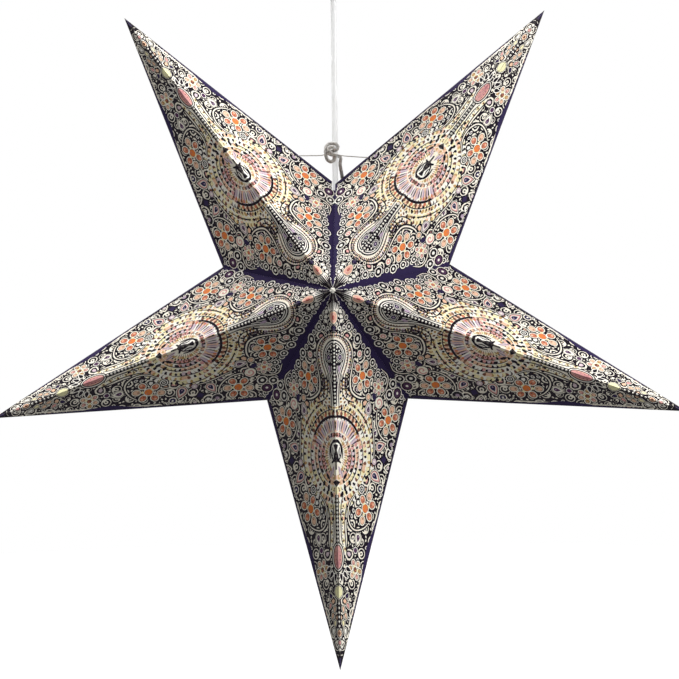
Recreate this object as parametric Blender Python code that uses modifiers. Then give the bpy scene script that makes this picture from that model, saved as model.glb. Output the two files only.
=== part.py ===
"""Folding paper star lantern on a pendant lamp cord.

Units are metres, +Z is up and the star's front faces -Y. The origin is the middle of
the ceiling plate's flat top face, so the whole lantern hangs below it.

The star is twenty flat paper triangles. Each of its five arms has a front and a back
pair, joined along a ridge, and every triangle runs from the middle point of its face
to a notch between two arms and to its arm's tip. Their edges are mitred along the
creases, so that the paper can fold about them while the seam between the two upper
arms is opened.
"""
import math

import bmesh
import bpy
from mathutils import Matrix, Vector

COLLECTION_NAME = "paper_star_lantern"

# Star
ARMS = 5
STAR_REACH = 0.3155
NOTCH_REACH = 0.104
HALF_DEPTH = 0.110
PAPER = 0.0005
CREASE_GAP = 0.0003
STAR_DROP = 0.338
HALF_WEDGE = math.pi / ARMS
OPENED_HALF_WEDGE = math.radians(30)

# Holes in the two upper arms
TIE_HOLE_RADIUS = 0.00085
LEFT_TIE_HOLE_REACH = 0.041
RIGHT_TIE_HOLE_REACH = 0.037
MOUTH_RADIUS = 0.009
MOUTH_ACROSS = 0.0025
MOUTH_BEHIND = 0.005
CORNER_CLIP = 0.003
CORNER_CLIP_DROP = 0.007

# Clearances, one overrun for every cut, and how near two points are welded
SEAT_GAP = 0.0003
OVERRUN = 0.002
WELD = 0.00001

# Ceiling plate and cup
PLATE_RADIUS = 0.038
PLATE_THICK = 0.002
SLOT_SPACING = 0.050
SLOT_LENGTH = 0.012
SLOT_WIDTH = 0.0045
WIRE_HOLE_RADIUS = 0.006
WIRE_HOLE_BEHIND = 0.022
LUG_WIDTH = 0.010
LUG_DROP = 0.011
CUP_RADIUS = 0.045
CUP_HEIGHT = 0.042
CUP_WALL = 0.0016
CUP_FLOOR_RADIUS = 0.014
CUP_SCREW_RADIUS = 0.0015
CUP_SCREW_HEAD_RADIUS = 0.0042
CUP_SCREW_HEAD = 0.005
CUP_SCREW_DROP = 0.007

# Cord grip under the cup, its nut, and the terminal block above
GRIP_STEM_RADIUS = 0.0050
GRIP_STEM = 0.009
GRIP_FLANGE_RADIUS = 0.0085
GRIP_FLANGE = 0.004
NUT_ACROSS = 0.014
NUT_THICK = 0.004
BLOCK_LENGTH = 0.022
BLOCK_WIDTH = 0.016
BLOCK_HEIGHT = 0.012
BLOCK_SCREW_RADIUS = 0.0022
BLOCK_SCREW_DEPTH = 0.004
BLOCK_ACROSS = -0.004

# Tapered strain relief
SLEEVE_LENGTH = 0.022
SLEEVE_TOP_RADIUS = 0.0044
SLEEVE_END_RADIUS = 0.0034
SLEEVE_GROOVE = 0.0005
SLEEVE_GROOVES = 5
SLEEVE_ROOF = 0.003

# Cords
CORD_RADIUS = 0.0024
TAIL_RADIUS = 0.0016
STRING_RADIUS = 0.00045
STOP_KNOT_RADIUS = 0.0019

# Lampholder, from its cap down
HOLDER_TOP = 0.064
HOLDER_CAP_HEIGHT = 0.026
HOLDER_CAP_RADIUS = 0.0205
HOLDER_CAP_WALL = 0.002
HOLDER_NECK_RADIUS = 0.0062
HOLDER_BODY_RADIUS = 0.0180
HOLDER_BORE_RADIUS = 0.0140
HOLDER_BODY_LENGTH = 0.044
HOLDER_CAP_LAP = 0.010
HOLDER_THREAD = 0.0006
HOLDER_THREADS = 6
CORE_THICK = 0.007
CORE_DOWN = 0.006
TONGUE_WIDTH = 0.005
TONGUE_THICK = 0.0008
TONGUE_DROP = 0.003
RING_RADIUS = 0.0215
RING_WIDTH = 0.008
RING_FLUTES = 20
RING_FLUTE_DEPTH = 0.0007
RING_ABOVE_MOUTH = 0.010

# Bulb
SHELL_RADIUS = 0.0131
SHELL_LENGTH = 0.020
SHELL_THREAD = 0.0008
SHELL_THREADS = 6
SHELL_WALL = 0.0008
SHELL_TIP_RADIUS = 0.0046
SHELL_TIP = 0.0035
GLOBE_RADIUS = 0.0225
GLOBE_DROP = 0.026
NECK_RADIUS = 0.0115
GLASS_WALL = 0.0009

# Facets
TURNED_STEPS = 36
FINE_STEPS = 24
ROUTE_STEPS = 24
ROUNDED_BELOW = math.radians(35)

# Routes of the cords, chosen by hand, as points in metres
LAMP_CORD_ROUTE = (
    (0, 0, -0.0506), (0, 0, -0.0640), (0, 0, -0.0800), (0, 0.0006, -0.1100), (0, 0.0015, -0.1500),
    (0, 0.0024, -0.1900), (0, 0.0031, -0.2200), (0, 0.0032, -0.2360), (0, 0.0022, -0.2520),
    (0, 0.0007, -0.2640), (0, 0, -0.2740), (0, 0, -0.2840))
TAIL_ROUTE = (
    (0.0044, -0.0004, -0.2148), (0.0046, -0.0009, -0.2175), (0.0052, 0.0006, -0.2215),
    (0.0060, 0.0034, -0.2262), (0.0066, 0.0056, -0.2310), (0.0067, 0.0066, -0.2360),
    (0.0064, 0.0066, -0.2420), (0.0058, 0.0056, -0.2480), (0.0052, 0.0042, -0.2540), (0.0049, 0.0030, -0.2600))
KNOT_ROUTE = (
    (0.0045, 0, -0.2144), (0.0050, 0.0022, -0.2106), (0.0037, 0.0057, -0.2080), (0, 0.0072, -0.2068),
    (-0.0040, 0.0061, -0.2060), (-0.0065, 0.0027, -0.2054), (-0.0046, -0.0010, -0.2050),
    (-0.0010, -0.0022, -0.2047), (0.0018, -0.0024, -0.2036), (0.0026, -0.0024, -0.2012),
    (0.0013, -0.0021, -0.1989), (-0.0017, -0.0018, -0.1980), (-0.0050, -0.0017, -0.1984),
    (-0.0073, -0.0027, -0.2006), (-0.0080, -0.0038, -0.2038), (-0.0080, -0.0043, -0.2074),
    (-0.0074, -0.0040, -0.2110), (-0.0056, -0.0036, -0.2138), (-0.0026, -0.0033, -0.2144),
    (-0.0004, -0.0033, -0.2123), (-0.0002, -0.0037, -0.2094), (-0.0023, -0.0047, -0.2079))
LEFT_STRING_ROUTE = (
    (-0.0430, 0, -0.2080), (-0.0380, 0, -0.2081), (-0.0318, 0, -0.2081), (-0.0260, -0.0010, -0.2084),
    (-0.0200, -0.0023, -0.2087), (-0.0155, -0.0034, -0.2090), (-0.0114, -0.0046, -0.2091))
MIDDLE_STRING_ROUTE = (
    (-0.0110, -0.0047, -0.2091), (-0.0095, -0.0066, -0.2091), (-0.0063, -0.0075, -0.2092),
    (-0.0025, -0.0076, -0.2093), (0.0012, -0.0071, -0.2094), (0.0048, -0.0055, -0.2096), (0.0078, -0.0038, -0.2097))
RIGHT_STRING_ROUTE = (
    (0.0082, -0.0037, -0.2097), (0.0120, -0.0028, -0.2099), (0.0170, -0.0018, -0.2101),
    (0.0230, -0.0007, -0.2104), (0.0287, 0, -0.2106), (0.0340, 0, -0.2107), (0.0390, 0, -0.2106))
FEED_CORD_ROUTE = (
    (0, 0, -0.0458), (0, 0, -0.0400), (0, 0, -0.0330), (0, -0.0008, -0.0280), (0, -0.0026, -0.0232),
    (0, -0.0038, -0.0190), (0, -0.0040, -0.0147))

# Places worked out from the sizes
STAR_CENTRE = Vector((0, 0, -STAR_DROP))
FRONT_POINT = STAR_CENTRE + Vector((0, -HALF_DEPTH, 0))
BACK_POINT = STAR_CENTRE + Vector((0, HALF_DEPTH, 0))
SLEEVE_TOP_Z = -CUP_HEIGHT - SEAT_GAP - GRIP_FLANGE - SEAT_GAP
SWING_PIVOT = Vector((0, 0, SLEEVE_TOP_Z - SLEEVE_TOP_RADIUS))
HOLDER_TOP_Z = -STAR_DROP + HOLDER_TOP
HOLDER_BODY_TOP_Z = HOLDER_TOP_Z - HOLDER_CAP_HEIGHT + HOLDER_CAP_LAP
HOLDER_MOUTH_Z = HOLDER_BODY_TOP_Z - HOLDER_BODY_LENGTH
CORE_Z = HOLDER_BODY_TOP_Z - CORE_DOWN - CORE_THICK
GLOBE_Z = -STAR_DROP - GLOBE_DROP
SHELL_END_Z = HOLDER_MOUTH_Z
SHELL_TOP_Z = SHELL_END_Z + SHELL_LENGTH


def clear_scene():
    """Removes what the opened file holds."""
    for item in list(bpy.data.objects):
        bpy.data.objects.remove(item, do_unlink=True)


def make_collection(name):
    """A new collection in the scene."""
    collection = bpy.data.collections.new(name)
    bpy.context.scene.collection.children.link(collection)
    return collection


def make_material(name, colour, roughness, metallic=0):
    """A plain surface of one colour."""
    surface = bpy.data.materials.new(name)
    surface.use_nodes = True
    shader = surface.node_tree.nodes["Principled BSDF"]
    shader.inputs["Base Color"].default_value = (*colour, 1)
    shader.inputs["Roughness"].default_value = roughness
    shader.inputs["Metallic"].default_value = metallic
    surface.diffuse_color = (*colour, 1)
    return surface


clear_scene()
PARTS = make_collection(COLLECTION_NAME)
CUTTERS = make_collection("cutters")

PRINTED_PAPER = make_material("printed_paper", (0.80, 0.72, 0.52), 0.75)
WHITE_PLASTIC = make_material("white_plastic", (0.90, 0.90, 0.88), 0.35)
WHITE_RUBBER = make_material("white_rubber", (0.86, 0.86, 0.85), 0.55)
WHITE_CORD = make_material("white_cord", (0.92, 0.92, 0.92), 0.45)
GREY_TIE = make_material("grey_tie", (0.62, 0.60, 0.57), 0.70)
GREY_STRING = make_material("grey_string", (0.70, 0.67, 0.62), 0.85)
STEEL = make_material("zinc_steel", (0.66, 0.67, 0.69), 0.35, 1)
BRASS = make_material("brass", (0.80, 0.62, 0.30), 0.30, 1)
FROSTED_GLASS = make_material("frosted_glass", (0.95, 0.95, 0.93), 0.25)


def add_part(name, mesh, material, origin, parent=None):
    """Places a mesh as one named part, with its origin on its joint or its own axis."""
    part = bpy.data.objects.new(name, mesh)
    PARTS.objects.link(part)
    mesh.materials.clear()
    mesh.materials.append(material)
    set_parent(part, parent, origin)
    return part


def set_parent(item, parent, origin):
    """Parents an item, all of them being unturned, and puts its origin at a world place."""
    item.parent = parent
    item.location = Vector(origin) - world_place(parent)


def world_place(item):
    """An unturned item's origin in the world."""
    place = Vector((0, 0, 0))
    while item is not None:
        place += item.location
        item = item.parent
    return place


def add_pivot(name, origin, parent=None):
    """An empty on a joint's axis, which carries the pieces that move together."""
    pivot = bpy.data.objects.new(name, None)
    pivot.empty_display_size = CUP_RADIUS
    PARTS.objects.link(pivot)
    set_parent(pivot, parent, origin)
    return pivot


def smooth_round(mesh):
    """Shades a round piece smooth between its sharp edges."""
    mesh.shade_smooth()
    mesh.set_sharp_from_angle(angle=ROUNDED_BELOW)


def turned_part(name, profile, material, origin, parent=None, closed=False, steps=TURNED_STEPS):
    """Turns a profile of (radius, height) points about Z, its outer side listed downwards."""
    mesh = bpy.data.meshes.new(name)
    count = len(profile)
    edges = [(i, i + 1) for i in range(count - 1)]
    if closed:
        edges.append((count - 1, 0))
    mesh.from_pydata([(radius, 0, height) for radius, height in profile], edges, [])
    part = add_part(name, mesh, material, origin, parent)
    screw = part.modifiers.new("turn", "SCREW")
    screw.steps = steps
    screw.render_steps = steps
    screw.use_merge_vertices = True
    screw.merge_threshold = WELD
    screw.use_smooth_shade = True
    return part


def evaluated_mesh(item):
    """The item's mesh as its modifiers leave it, in its own frame."""
    graph = bpy.context.evaluated_depsgraph_get()
    graph.update()
    return bpy.data.meshes.new_from_object(item.evaluated_get(graph))


def add_cutter(name, mesh, origin, turn=None):
    """Places a mesh as a cutter, which isn't part of the lantern."""
    cutter = bpy.data.objects.new(name, mesh)
    CUTTERS.objects.link(cutter)
    cutter.location = origin
    if turn is not None:
        cutter.rotation_euler = turn
    cutter.hide_render = True
    cutter.display_type = "WIRE"
    return cutter


def round_mesh(name, radius, length, steps=FINE_STEPS):
    """A solid cylinder about Z, centred on its origin."""
    shape = bmesh.new()
    bmesh.ops.create_cone(
        shape, cap_ends=True, cap_tris=False, segments=steps, radius1=radius, radius2=radius, depth=length)
    mesh = bpy.data.meshes.new(name)
    shape.to_mesh(mesh)
    shape.free()
    return mesh


def box_mesh(name, size):
    """A solid box, centred on its origin."""
    shape = bmesh.new()
    bmesh.ops.create_cube(shape, size=1)
    bmesh.ops.scale(shape, vec=size, verts=shape.verts)
    mesh = bpy.data.meshes.new(name)
    shape.to_mesh(mesh)
    shape.free()
    return mesh


def combine(part, tool, operation):
    """Cuts a part with a tool, or joins the tool to it."""
    modifier = part.modifiers.new(tool.name, "BOOLEAN")
    modifier.operation = operation
    modifier.solver = "EXACT"
    modifier.object = tool


def smooth_route(points, spacing):
    """Evenly spaced points along a smooth curve through the route's own points."""
    points = [Vector(point) for point in points]
    ends = [2 * points[0] - points[1]] + points + [2 * points[-1] - points[-2]]
    fine = []
    for before, start, end, after in zip(ends, ends[1:], ends[2:], ends[3:]):
        for step in range(ROUTE_STEPS):
            t = step / ROUTE_STEPS
            fine.append(0.5 * (
                2 * start + (end - before) * t + (2 * before - 5 * start + 4 * end - after) * t ** 2
                + (3 * start - before - 3 * end + after) * t ** 3))
    fine.append(points[-1])
    length = sum((b - a).length for a, b in zip(fine, fine[1:]))
    count = max(2, round(length / spacing))
    route = [fine[0]]
    travelled = 0
    for a, b in zip(fine, fine[1:]):
        travelled += (b - a).length
        if travelled >= len(route) * length / count and len(route) < count:
            route.append(b)
    route.append(fine[-1])
    return route


def tube_part(name, points, radius, spacing, resolution, material, origin, parent=None):
    """A cord along a route, as a curve with a round section and filled ends."""
    route = smooth_route(points, spacing)
    curve = bpy.data.curves.new(name, "CURVE")
    curve.dimensions = "3D"
    curve.bevel_depth = radius
    curve.bevel_resolution = resolution
    curve.use_fill_caps = True
    spline = curve.splines.new("POLY")
    spline.points.add(len(route) - 1)
    for place, point in zip(spline.points, route):
        place.co = (*(point - Vector(origin)), 1)
    part = bpy.data.objects.new(name, curve)
    PARTS.objects.link(part)
    curve.materials.append(material)
    set_parent(part, parent, origin)
    return part


def as_mesh_part(part):
    """Turns a curve part into a mesh part, with its end caps welded."""
    mesh = evaluated_mesh(part)
    shape = bmesh.new()
    shape.from_mesh(mesh)
    bmesh.ops.remove_doubles(shape, verts=shape.verts, dist=WELD)
    shape.to_mesh(mesh)
    shape.free()
    name, parent, place, material = part.name, part.parent, world_place(part), part.data.materials[0]
    bpy.data.objects.remove(part, do_unlink=True)
    smooth_round(mesh)
    return add_part(name, mesh, material, place, parent)


def least_gap_to_itself(points, radius):
    """The least clear distance between stretches of one tube that aren't neighbours."""
    route = smooth_route(points, radius / 4)
    reach = [0]
    for a, b in zip(route, route[1:]):
        reach.append(reach[-1] + (b - a).length)
    least = reach[-1]
    for i, a in enumerate(route):
        for j in range(i + 1, len(route)):
            if reach[j] - reach[i] > 4 * radius:
                least = min(least, (a - route[j]).length - 2 * radius)
    return least


def flat_outline(name, outlines, thick, material, origin, parent=None):
    """A flat piece with holes, from closed outlines in its plane, centred on its origin."""
    curve = bpy.data.curves.new(name, "CURVE")
    curve.dimensions = "2D"
    curve.fill_mode = "BOTH"
    curve.extrude = thick / 2
    for outline in outlines:
        spline = curve.splines.new("POLY")
        spline.points.add(len(outline) - 1)
        spline.use_cyclic_u = True
        for place, point in zip(spline.points, outline):
            place.co = (point[0], point[1], 0, 1)
    part = bpy.data.objects.new(name, curve)
    PARTS.objects.link(part)
    curve.materials.append(material)
    set_parent(part, parent, origin)
    return as_mesh_part(part)


def circle(radius, steps, across=0, along=0):
    """Points round a circle."""
    turns = [2 * math.pi * step / steps for step in range(steps)]
    return [(across + radius * math.cos(turn), along + radius * math.sin(turn)) for turn in turns]


def slot(length, width, across, steps):
    """Points round a slot with round ends, its length along Y."""
    straight = (length - width) / 2
    points = []
    for step in range(steps + 1):
        turn = math.pi * step / steps
        points.append((across + width / 2 * math.cos(turn), straight + width / 2 * math.sin(turn)))
    for step in range(steps + 1):
        turn = math.pi + math.pi * step / steps
        points.append((across + width / 2 * math.cos(turn), -straight + width / 2 * math.sin(turn)))
    return points


# Fold of the star

def opening_angle(start, end, one, other):
    """The angle between the half planes that leave one line through two places."""
    line = (end - start).normalized()
    a = (one - start) - (one - start).dot(line) * line
    b = (other - start) - (other - start).dot(line) * line
    return a.angle(b)


def half_depth_at(half_wedge):
    """Half the star's depth once each arm's wedge has changed and no paper has stretched."""
    valley = NOTCH_REACH ** 2 + HALF_DEPTH ** 2
    ridge = STAR_REACH ** 2 + HALF_DEPTH ** 2
    side = NOTCH_REACH ** 2 + STAR_REACH ** 2 - 2 * NOTCH_REACH * STAR_REACH * math.cos(HALF_WEDGE)
    narrow = math.cos(half_wedge) ** 2
    spare = valley + ridge - side
    square = 4 * (1 - narrow)
    linear = 4 * narrow * (valley + ridge) - 4 * spare
    constant = spare ** 2 - 4 * narrow * valley * ridge
    root = (-linear + math.sqrt(linear ** 2 - 4 * square * constant)) / (2 * square)
    return math.sqrt(root)


def crease_half_angles(half_wedge):
    """Half the inner angle at a ridge, at a valley and at a side crease."""
    depth = half_depth_at(half_wedge)
    notch_reach = math.sqrt(NOTCH_REACH ** 2 + HALF_DEPTH ** 2 - depth ** 2)
    tip_reach = math.sqrt(STAR_REACH ** 2 + HALF_DEPTH ** 2 - depth ** 2)
    front = Vector((0, -depth, 0))
    back = Vector((0, depth, 0))
    tip = Vector((tip_reach, 0, 0))
    notch = Vector((notch_reach * math.cos(half_wedge), 0, notch_reach * math.sin(half_wedge)))
    other_notch = Vector((notch.x, 0, -notch.z))
    across = Vector((-notch.z, 0, notch.x)).normalized()
    next_tip = tip - 2 * tip.dot(across) * across
    ridge = opening_angle(front, tip, notch, other_notch) / 2
    valley = math.pi - opening_angle(front, notch, tip, next_tip) / 2
    side = opening_angle(notch, tip, front, back) / 2
    return {"ridge": ridge, "valley": valley, "side": side}


REST_ANGLES = crease_half_angles(HALF_WEDGE)
OPENED_ANGLES = crease_half_angles(OPENED_HALF_WEDGE)


def crease_setbacks(kind):
    """How far the paper's inner and outer faces stop short of a crease, clear over the whole fold."""
    angles = (REST_ANGLES[kind], OPENED_ANGLES[kind])
    clear = CREASE_GAP / 2 / min(math.sin(angle) for angle in angles)
    inner = max(PAPER / 2 / math.tan(angle) for angle in angles) + clear
    outer = max(-PAPER / 2 / math.tan(angle) for angle in angles) + clear
    return inner, outer


def star_place(reach, turn):
    """A place in the star's middle plane, by its distance from the centre and its turn from +X."""
    return STAR_CENTRE + reach * Vector((math.cos(turn), 0, math.sin(turn)))


def cut_sheet(sheet, place, outward):
    """Cuts the sheet at a plane, drops what lies outward and closes the cut."""
    geometry = sheet.verts[:] + sheet.edges[:] + sheet.faces[:]
    bmesh.ops.bisect_plane(sheet, geom=geometry, plane_co=place, plane_no=outward, clear_outer=True)
    rim = [edge for edge in sheet.edges if edge.is_boundary]
    bmesh.ops.holes_fill(sheet, edges=rim)


def paper_mesh(name, apex, notch, tip, origin):
    """One flat triangle of paper, cut from a sheet by the mitre plane at each crease."""
    middle = (apex + notch + tip) / 3
    normal = (notch - apex).cross(tip - apex).normalized()
    if normal.dot(middle - STAR_CENTRE) < 0:
        normal.negate()
    along = (tip - apex).normalized()
    across = normal.cross(along)
    sheet = bmesh.new()
    bmesh.ops.create_cube(sheet, size=1)
    bmesh.ops.scale(sheet, vec=(2 * STAR_REACH, 2 * STAR_REACH, PAPER), verts=sheet.verts)
    turn = Matrix((along, across, normal)).transposed().to_4x4()
    bmesh.ops.transform(sheet, matrix=Matrix.Translation(middle - origin) @ turn, verts=sheet.verts)
    for kind, start, end in (("ridge", apex, tip), ("valley", apex, notch), ("side", notch, tip)):
        line = (end - start).normalized()
        inward = normal.cross(line)
        if inward.dot(middle - start) < 0:
            inward.negate()
        inner_setback, outer_setback = crease_setbacks(kind)
        inner = start + inward * inner_setback - normal * PAPER / 2
        outer = start + inward * outer_setback + normal * PAPER / 2
        outward = line.cross(outer - inner).normalized()
        if outward.dot(inward) > 0:
            outward.negate()
        cut_sheet(sheet, inner - origin, outward)
    bmesh.ops.recalc_face_normals(sheet, faces=sheet.faces)
    mesh = bpy.data.meshes.new(name)
    sheet.to_mesh(mesh)
    sheet.free()
    return mesh


ARM_NAMES = ("upper_right", "upper_left", "left", "bottom", "right")
FIRST_ARM_TURN = math.pi / 2 - HALF_WEDGE


def panel_name(arm, side, face):
    """A panel's name, from its arm, the side of the ridge it lies on and the face it is on."""
    if ARM_NAMES[arm] == "bottom":
        half = "right" if side > 0 else "left"
    else:
        rising = side > 0 if ARM_NAMES[arm] in ("upper_right", "right") else side < 0
        half = "upper" if rising else "lower"
    return f"{ARM_NAMES[arm]}_arm_{face}_{half}_panel"


def panel_corners(arm, side, face):
    """A panel's middle point, notch and tip. Side is +1 anticlockwise of its ridge and -1 clockwise."""
    turn = FIRST_ARM_TURN + 2 * HALF_WEDGE * arm
    apex = FRONT_POINT if face == "front" else BACK_POINT
    return apex, star_place(NOTCH_REACH, turn + side * HALF_WEDGE), star_place(STAR_REACH, turn)


def add_panel(arm, side, face, parent):
    """A panel whose origin lies on the crease that it folds about."""
    apex, notch, tip = panel_corners(arm, side, face)
    name = panel_name(arm, side, face)
    origin = apex if face == "front" else notch
    return add_part(name, paper_mesh(name, apex, notch, tip, origin), PRINTED_PAPER, origin, parent)


def build_star(pivot):
    """The twenty panels, parented outwards from the bottom arm's front ridge to the top seam."""
    panels = {}
    bottom = ARM_NAMES.index("bottom")
    for side in (1, -1):
        chain = [(bottom, side)]
        for step in (1, 2):
            arm = (bottom + side * step) % ARMS
            chain += [(arm, -side), (arm, side)]
        carrier = pivot
        for arm, half in chain:
            front = add_panel(arm, half, "front", carrier)
            panels[front.name] = front
            back = add_panel(arm, half, "back", front)
            panels[back.name] = back
            carrier = front
    return panels


def cut_upper_arms(panels):
    """The holes for the tie string, the clipped corner, and the mouth that the lamp cord goes in by."""
    notch = star_place(NOTCH_REACH, math.pi / 2)
    for arm, reach in (("upper_left", LEFT_TIE_HOLE_REACH), ("upper_right", RIGHT_TIE_HOLE_REACH)):
        turn = FIRST_ARM_TURN + 2 * HALF_WEDGE * ARM_NAMES.index(arm)
        tip = star_place(STAR_REACH, turn)
        place = notch + (tip - notch).normalized() * reach
        mesh = round_mesh(f"{arm}_tie_hole", TIE_HOLE_RADIUS, MOUTH_RADIUS)
        cutter = add_cutter(f"{arm}_tie_hole", mesh, place, (0, math.pi / 2, 0))
        for face in ("front", "back"):
            combine(panels[f"{arm}_arm_{face}_upper_panel"], cutter, "DIFFERENCE")
    clip = box_mesh("corner_clip", (2 * CORNER_CLIP, 4 * CORNER_CLIP_DROP, 2 * CORNER_CLIP_DROP))
    combine(panels["upper_left_arm_front_upper_panel"], add_cutter("corner_clip", clip, notch), "DIFFERENCE")
    place = notch + Vector((MOUTH_ACROSS, MOUTH_BEHIND, 0))
    mouth = add_cutter("cord_mouth", round_mesh("cord_mouth", MOUTH_RADIUS, 4 * MOUTH_RADIUS), place)
    for arm in ("upper_left", "upper_right"):
        combine(panels[f"{arm}_arm_back_upper_panel"], mouth, "DIFFERENCE")


def build_ceiling_fitting():
    """Plate, cup, side screw, cord grip, nut, terminal block and the cord fixed between them."""
    outlines = [circle(PLATE_RADIUS, TURNED_STEPS), circle(WIRE_HOLE_RADIUS, FINE_STEPS, 0, WIRE_HOLE_BEHIND)]
    for across in (-SLOT_SPACING / 2, SLOT_SPACING / 2):
        outlines.append(slot(SLOT_LENGTH, SLOT_WIDTH, across, FINE_STEPS // 3))
    plate = flat_outline("ceiling_plate", outlines, PLATE_THICK, STEEL, (0, 0, -PLATE_THICK / 2))
    lug_size = (LUG_WIDTH, PLATE_THICK, LUG_DROP)
    lug_place = (0, -PLATE_RADIUS + PLATE_THICK, -LUG_DROP / 2)
    lug = add_cutter("plate_lug", box_mesh("plate_lug", lug_size), lug_place)
    combine(plate, lug, "UNION")

    wall = CUP_WALL
    shoulder_shares = ((1.00, 0.30), (0.985, 0.52), (0.93, 0.72), (0.80, 0.87), (0.60, 0.96))
    hole = GRIP_STEM_RADIUS + SEAT_GAP
    outer = [(CUP_RADIUS, -SEAT_GAP)]
    outer += [(CUP_RADIUS * across, -CUP_HEIGHT * down) for across, down in shoulder_shares]
    outer += [(CUP_FLOOR_RADIUS, -CUP_HEIGHT), (hole, -CUP_HEIGHT)]
    inner = [(hole, -CUP_HEIGHT + wall), (CUP_FLOOR_RADIUS, -CUP_HEIGHT + wall)]
    for across, down in reversed(shoulder_shares):
        inner.append((CUP_RADIUS * across - wall, -(CUP_HEIGHT - wall) * down))
    inner.append((CUP_RADIUS - wall, -SEAT_GAP))
    cup = turned_part("ceiling_cup", outer + inner, WHITE_PLASTIC, (0, 0, 0), closed=True)
    screw_hole_radius = CUP_SCREW_RADIUS + SEAT_GAP
    side_place = (0, -CUP_RADIUS + wall / 2, -CUP_SCREW_DROP)
    side_hole = round_mesh("cup_screw_hole", screw_hole_radius, 4 * wall)
    combine(cup, add_cutter("cup_screw_hole", side_hole, side_place, (math.pi / 2, 0, 0)), "DIFFERENCE")

    lug_face = PLATE_RADIUS - PLATE_THICK / 2
    shank = CUP_RADIUS + SEAT_GAP - lug_face - SEAT_GAP
    flat_share = 0.8
    profile = [
        (0, CUP_SCREW_HEAD), (CUP_SCREW_HEAD_RADIUS * flat_share, CUP_SCREW_HEAD),
        (CUP_SCREW_HEAD_RADIUS, CUP_SCREW_HEAD * flat_share), (CUP_SCREW_HEAD_RADIUS, 0),
        (CUP_SCREW_RADIUS, 0), (CUP_SCREW_RADIUS, -shank), (0, -shank)]
    screw = turned_part(
        "cup_side_screw", profile, STEEL, (0, -CUP_RADIUS - SEAT_GAP, -CUP_SCREW_DROP), steps=FINE_STEPS)
    screw.rotation_euler = (math.pi / 2, 0, 0)

    bore = CORD_RADIUS + SEAT_GAP
    flange_top = -CUP_HEIGHT - SEAT_GAP
    flange_low = flange_top - GRIP_FLANGE
    stem_top = flange_top + GRIP_STEM
    side_share, face_share = 0.6, 0.82
    profile = [
        (bore, stem_top), (GRIP_STEM_RADIUS, stem_top), (GRIP_STEM_RADIUS, flange_top),
        (GRIP_FLANGE_RADIUS, flange_top), (GRIP_FLANGE_RADIUS, flange_top - GRIP_FLANGE * side_share),
        (GRIP_FLANGE_RADIUS * face_share, flange_low), (bore, flange_low)]
    turned_part("cord_grip", profile, WHITE_PLASTIC, (0, 0, 0), closed=True)

    nut_turns = [math.pi / 3 * corner for corner in range(6)]
    nut_reach = NUT_ACROSS / 2 / math.cos(math.pi / 6)
    nut = [(nut_reach * math.cos(turn), nut_reach * math.sin(turn)) for turn in nut_turns]
    nut_z = -CUP_HEIGHT + wall + SEAT_GAP + NUT_THICK / 2
    flat_outline(
        "grip_nut", [nut, circle(GRIP_STEM_RADIUS + SEAT_GAP, FINE_STEPS)], NUT_THICK, WHITE_PLASTIC, (0, 0, nut_z))

    block_place = (0, BLOCK_ACROSS, -PLATE_THICK - SEAT_GAP - BLOCK_HEIGHT / 2)
    block = add_part(
        "terminal_block", box_mesh("terminal_block", (BLOCK_LENGTH, BLOCK_WIDTH, BLOCK_HEIGHT)),
        WHITE_PLASTIC, block_place)
    well = round_mesh("terminal_well", BLOCK_SCREW_RADIUS, 2 * BLOCK_SCREW_DEPTH)
    well_shares = (-0.25, 0.25)
    for share in well_shares:
        place = (BLOCK_LENGTH * share, BLOCK_ACROSS, block_place[2] - BLOCK_HEIGHT / 2)
        combine(block, add_cutter(f"terminal_well_{'left' if share < 0 else 'right'}", well, place), "DIFFERENCE")
    bevel = block.modifiers.new("edges", "BEVEL")
    bevel.width = SEAT_GAP
    bevel.segments = 1
    bevel.limit_method = "ANGLE"


def build_sleeve(pivot):
    """The tapered strain relief, with a round head about its pivot and a blind bore from below."""
    top = SLEEVE_TOP_RADIUS
    head_steps = FINE_STEPS // 4
    turns = [math.pi / 2 * step / head_steps for step in range(head_steps + 1)]
    head = [(top * math.sin(turn), top * math.cos(turn) + SWING_PIVOT.z) for turn in turns]
    low_z = SLEEVE_TOP_Z - SLEEVE_LENGTH
    taper_length = SWING_PIVOT.z - low_z
    groove_shares = ((0.35, 0), (0.45, 1), (0.70, 1), (0.80, 0))
    plain_end_share = 0.5
    rings = []
    for groove in range(SLEEVE_GROOVES):
        for along, depth in groove_shares:
            down = (groove + along) / (SLEEVE_GROOVES + plain_end_share)
            radius = top + (SLEEVE_END_RADIUS - top) * down
            rings.append((radius - SLEEVE_GROOVE * depth, SWING_PIVOT.z - taper_length * down))
    bore = CORD_RADIUS + SEAT_GAP
    roof = SLEEVE_TOP_Z - SLEEVE_ROOF
    profile = head + rings + [(SLEEVE_END_RADIUS, low_z), (bore, low_z), (bore, roof), (0, roof)]
    profile = [(radius, height - SWING_PIVOT.z) for radius, height in profile]
    turned_part("cord_strain_relief", profile, WHITE_RUBBER, SWING_PIVOT, pivot, steps=FINE_STEPS)


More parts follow.
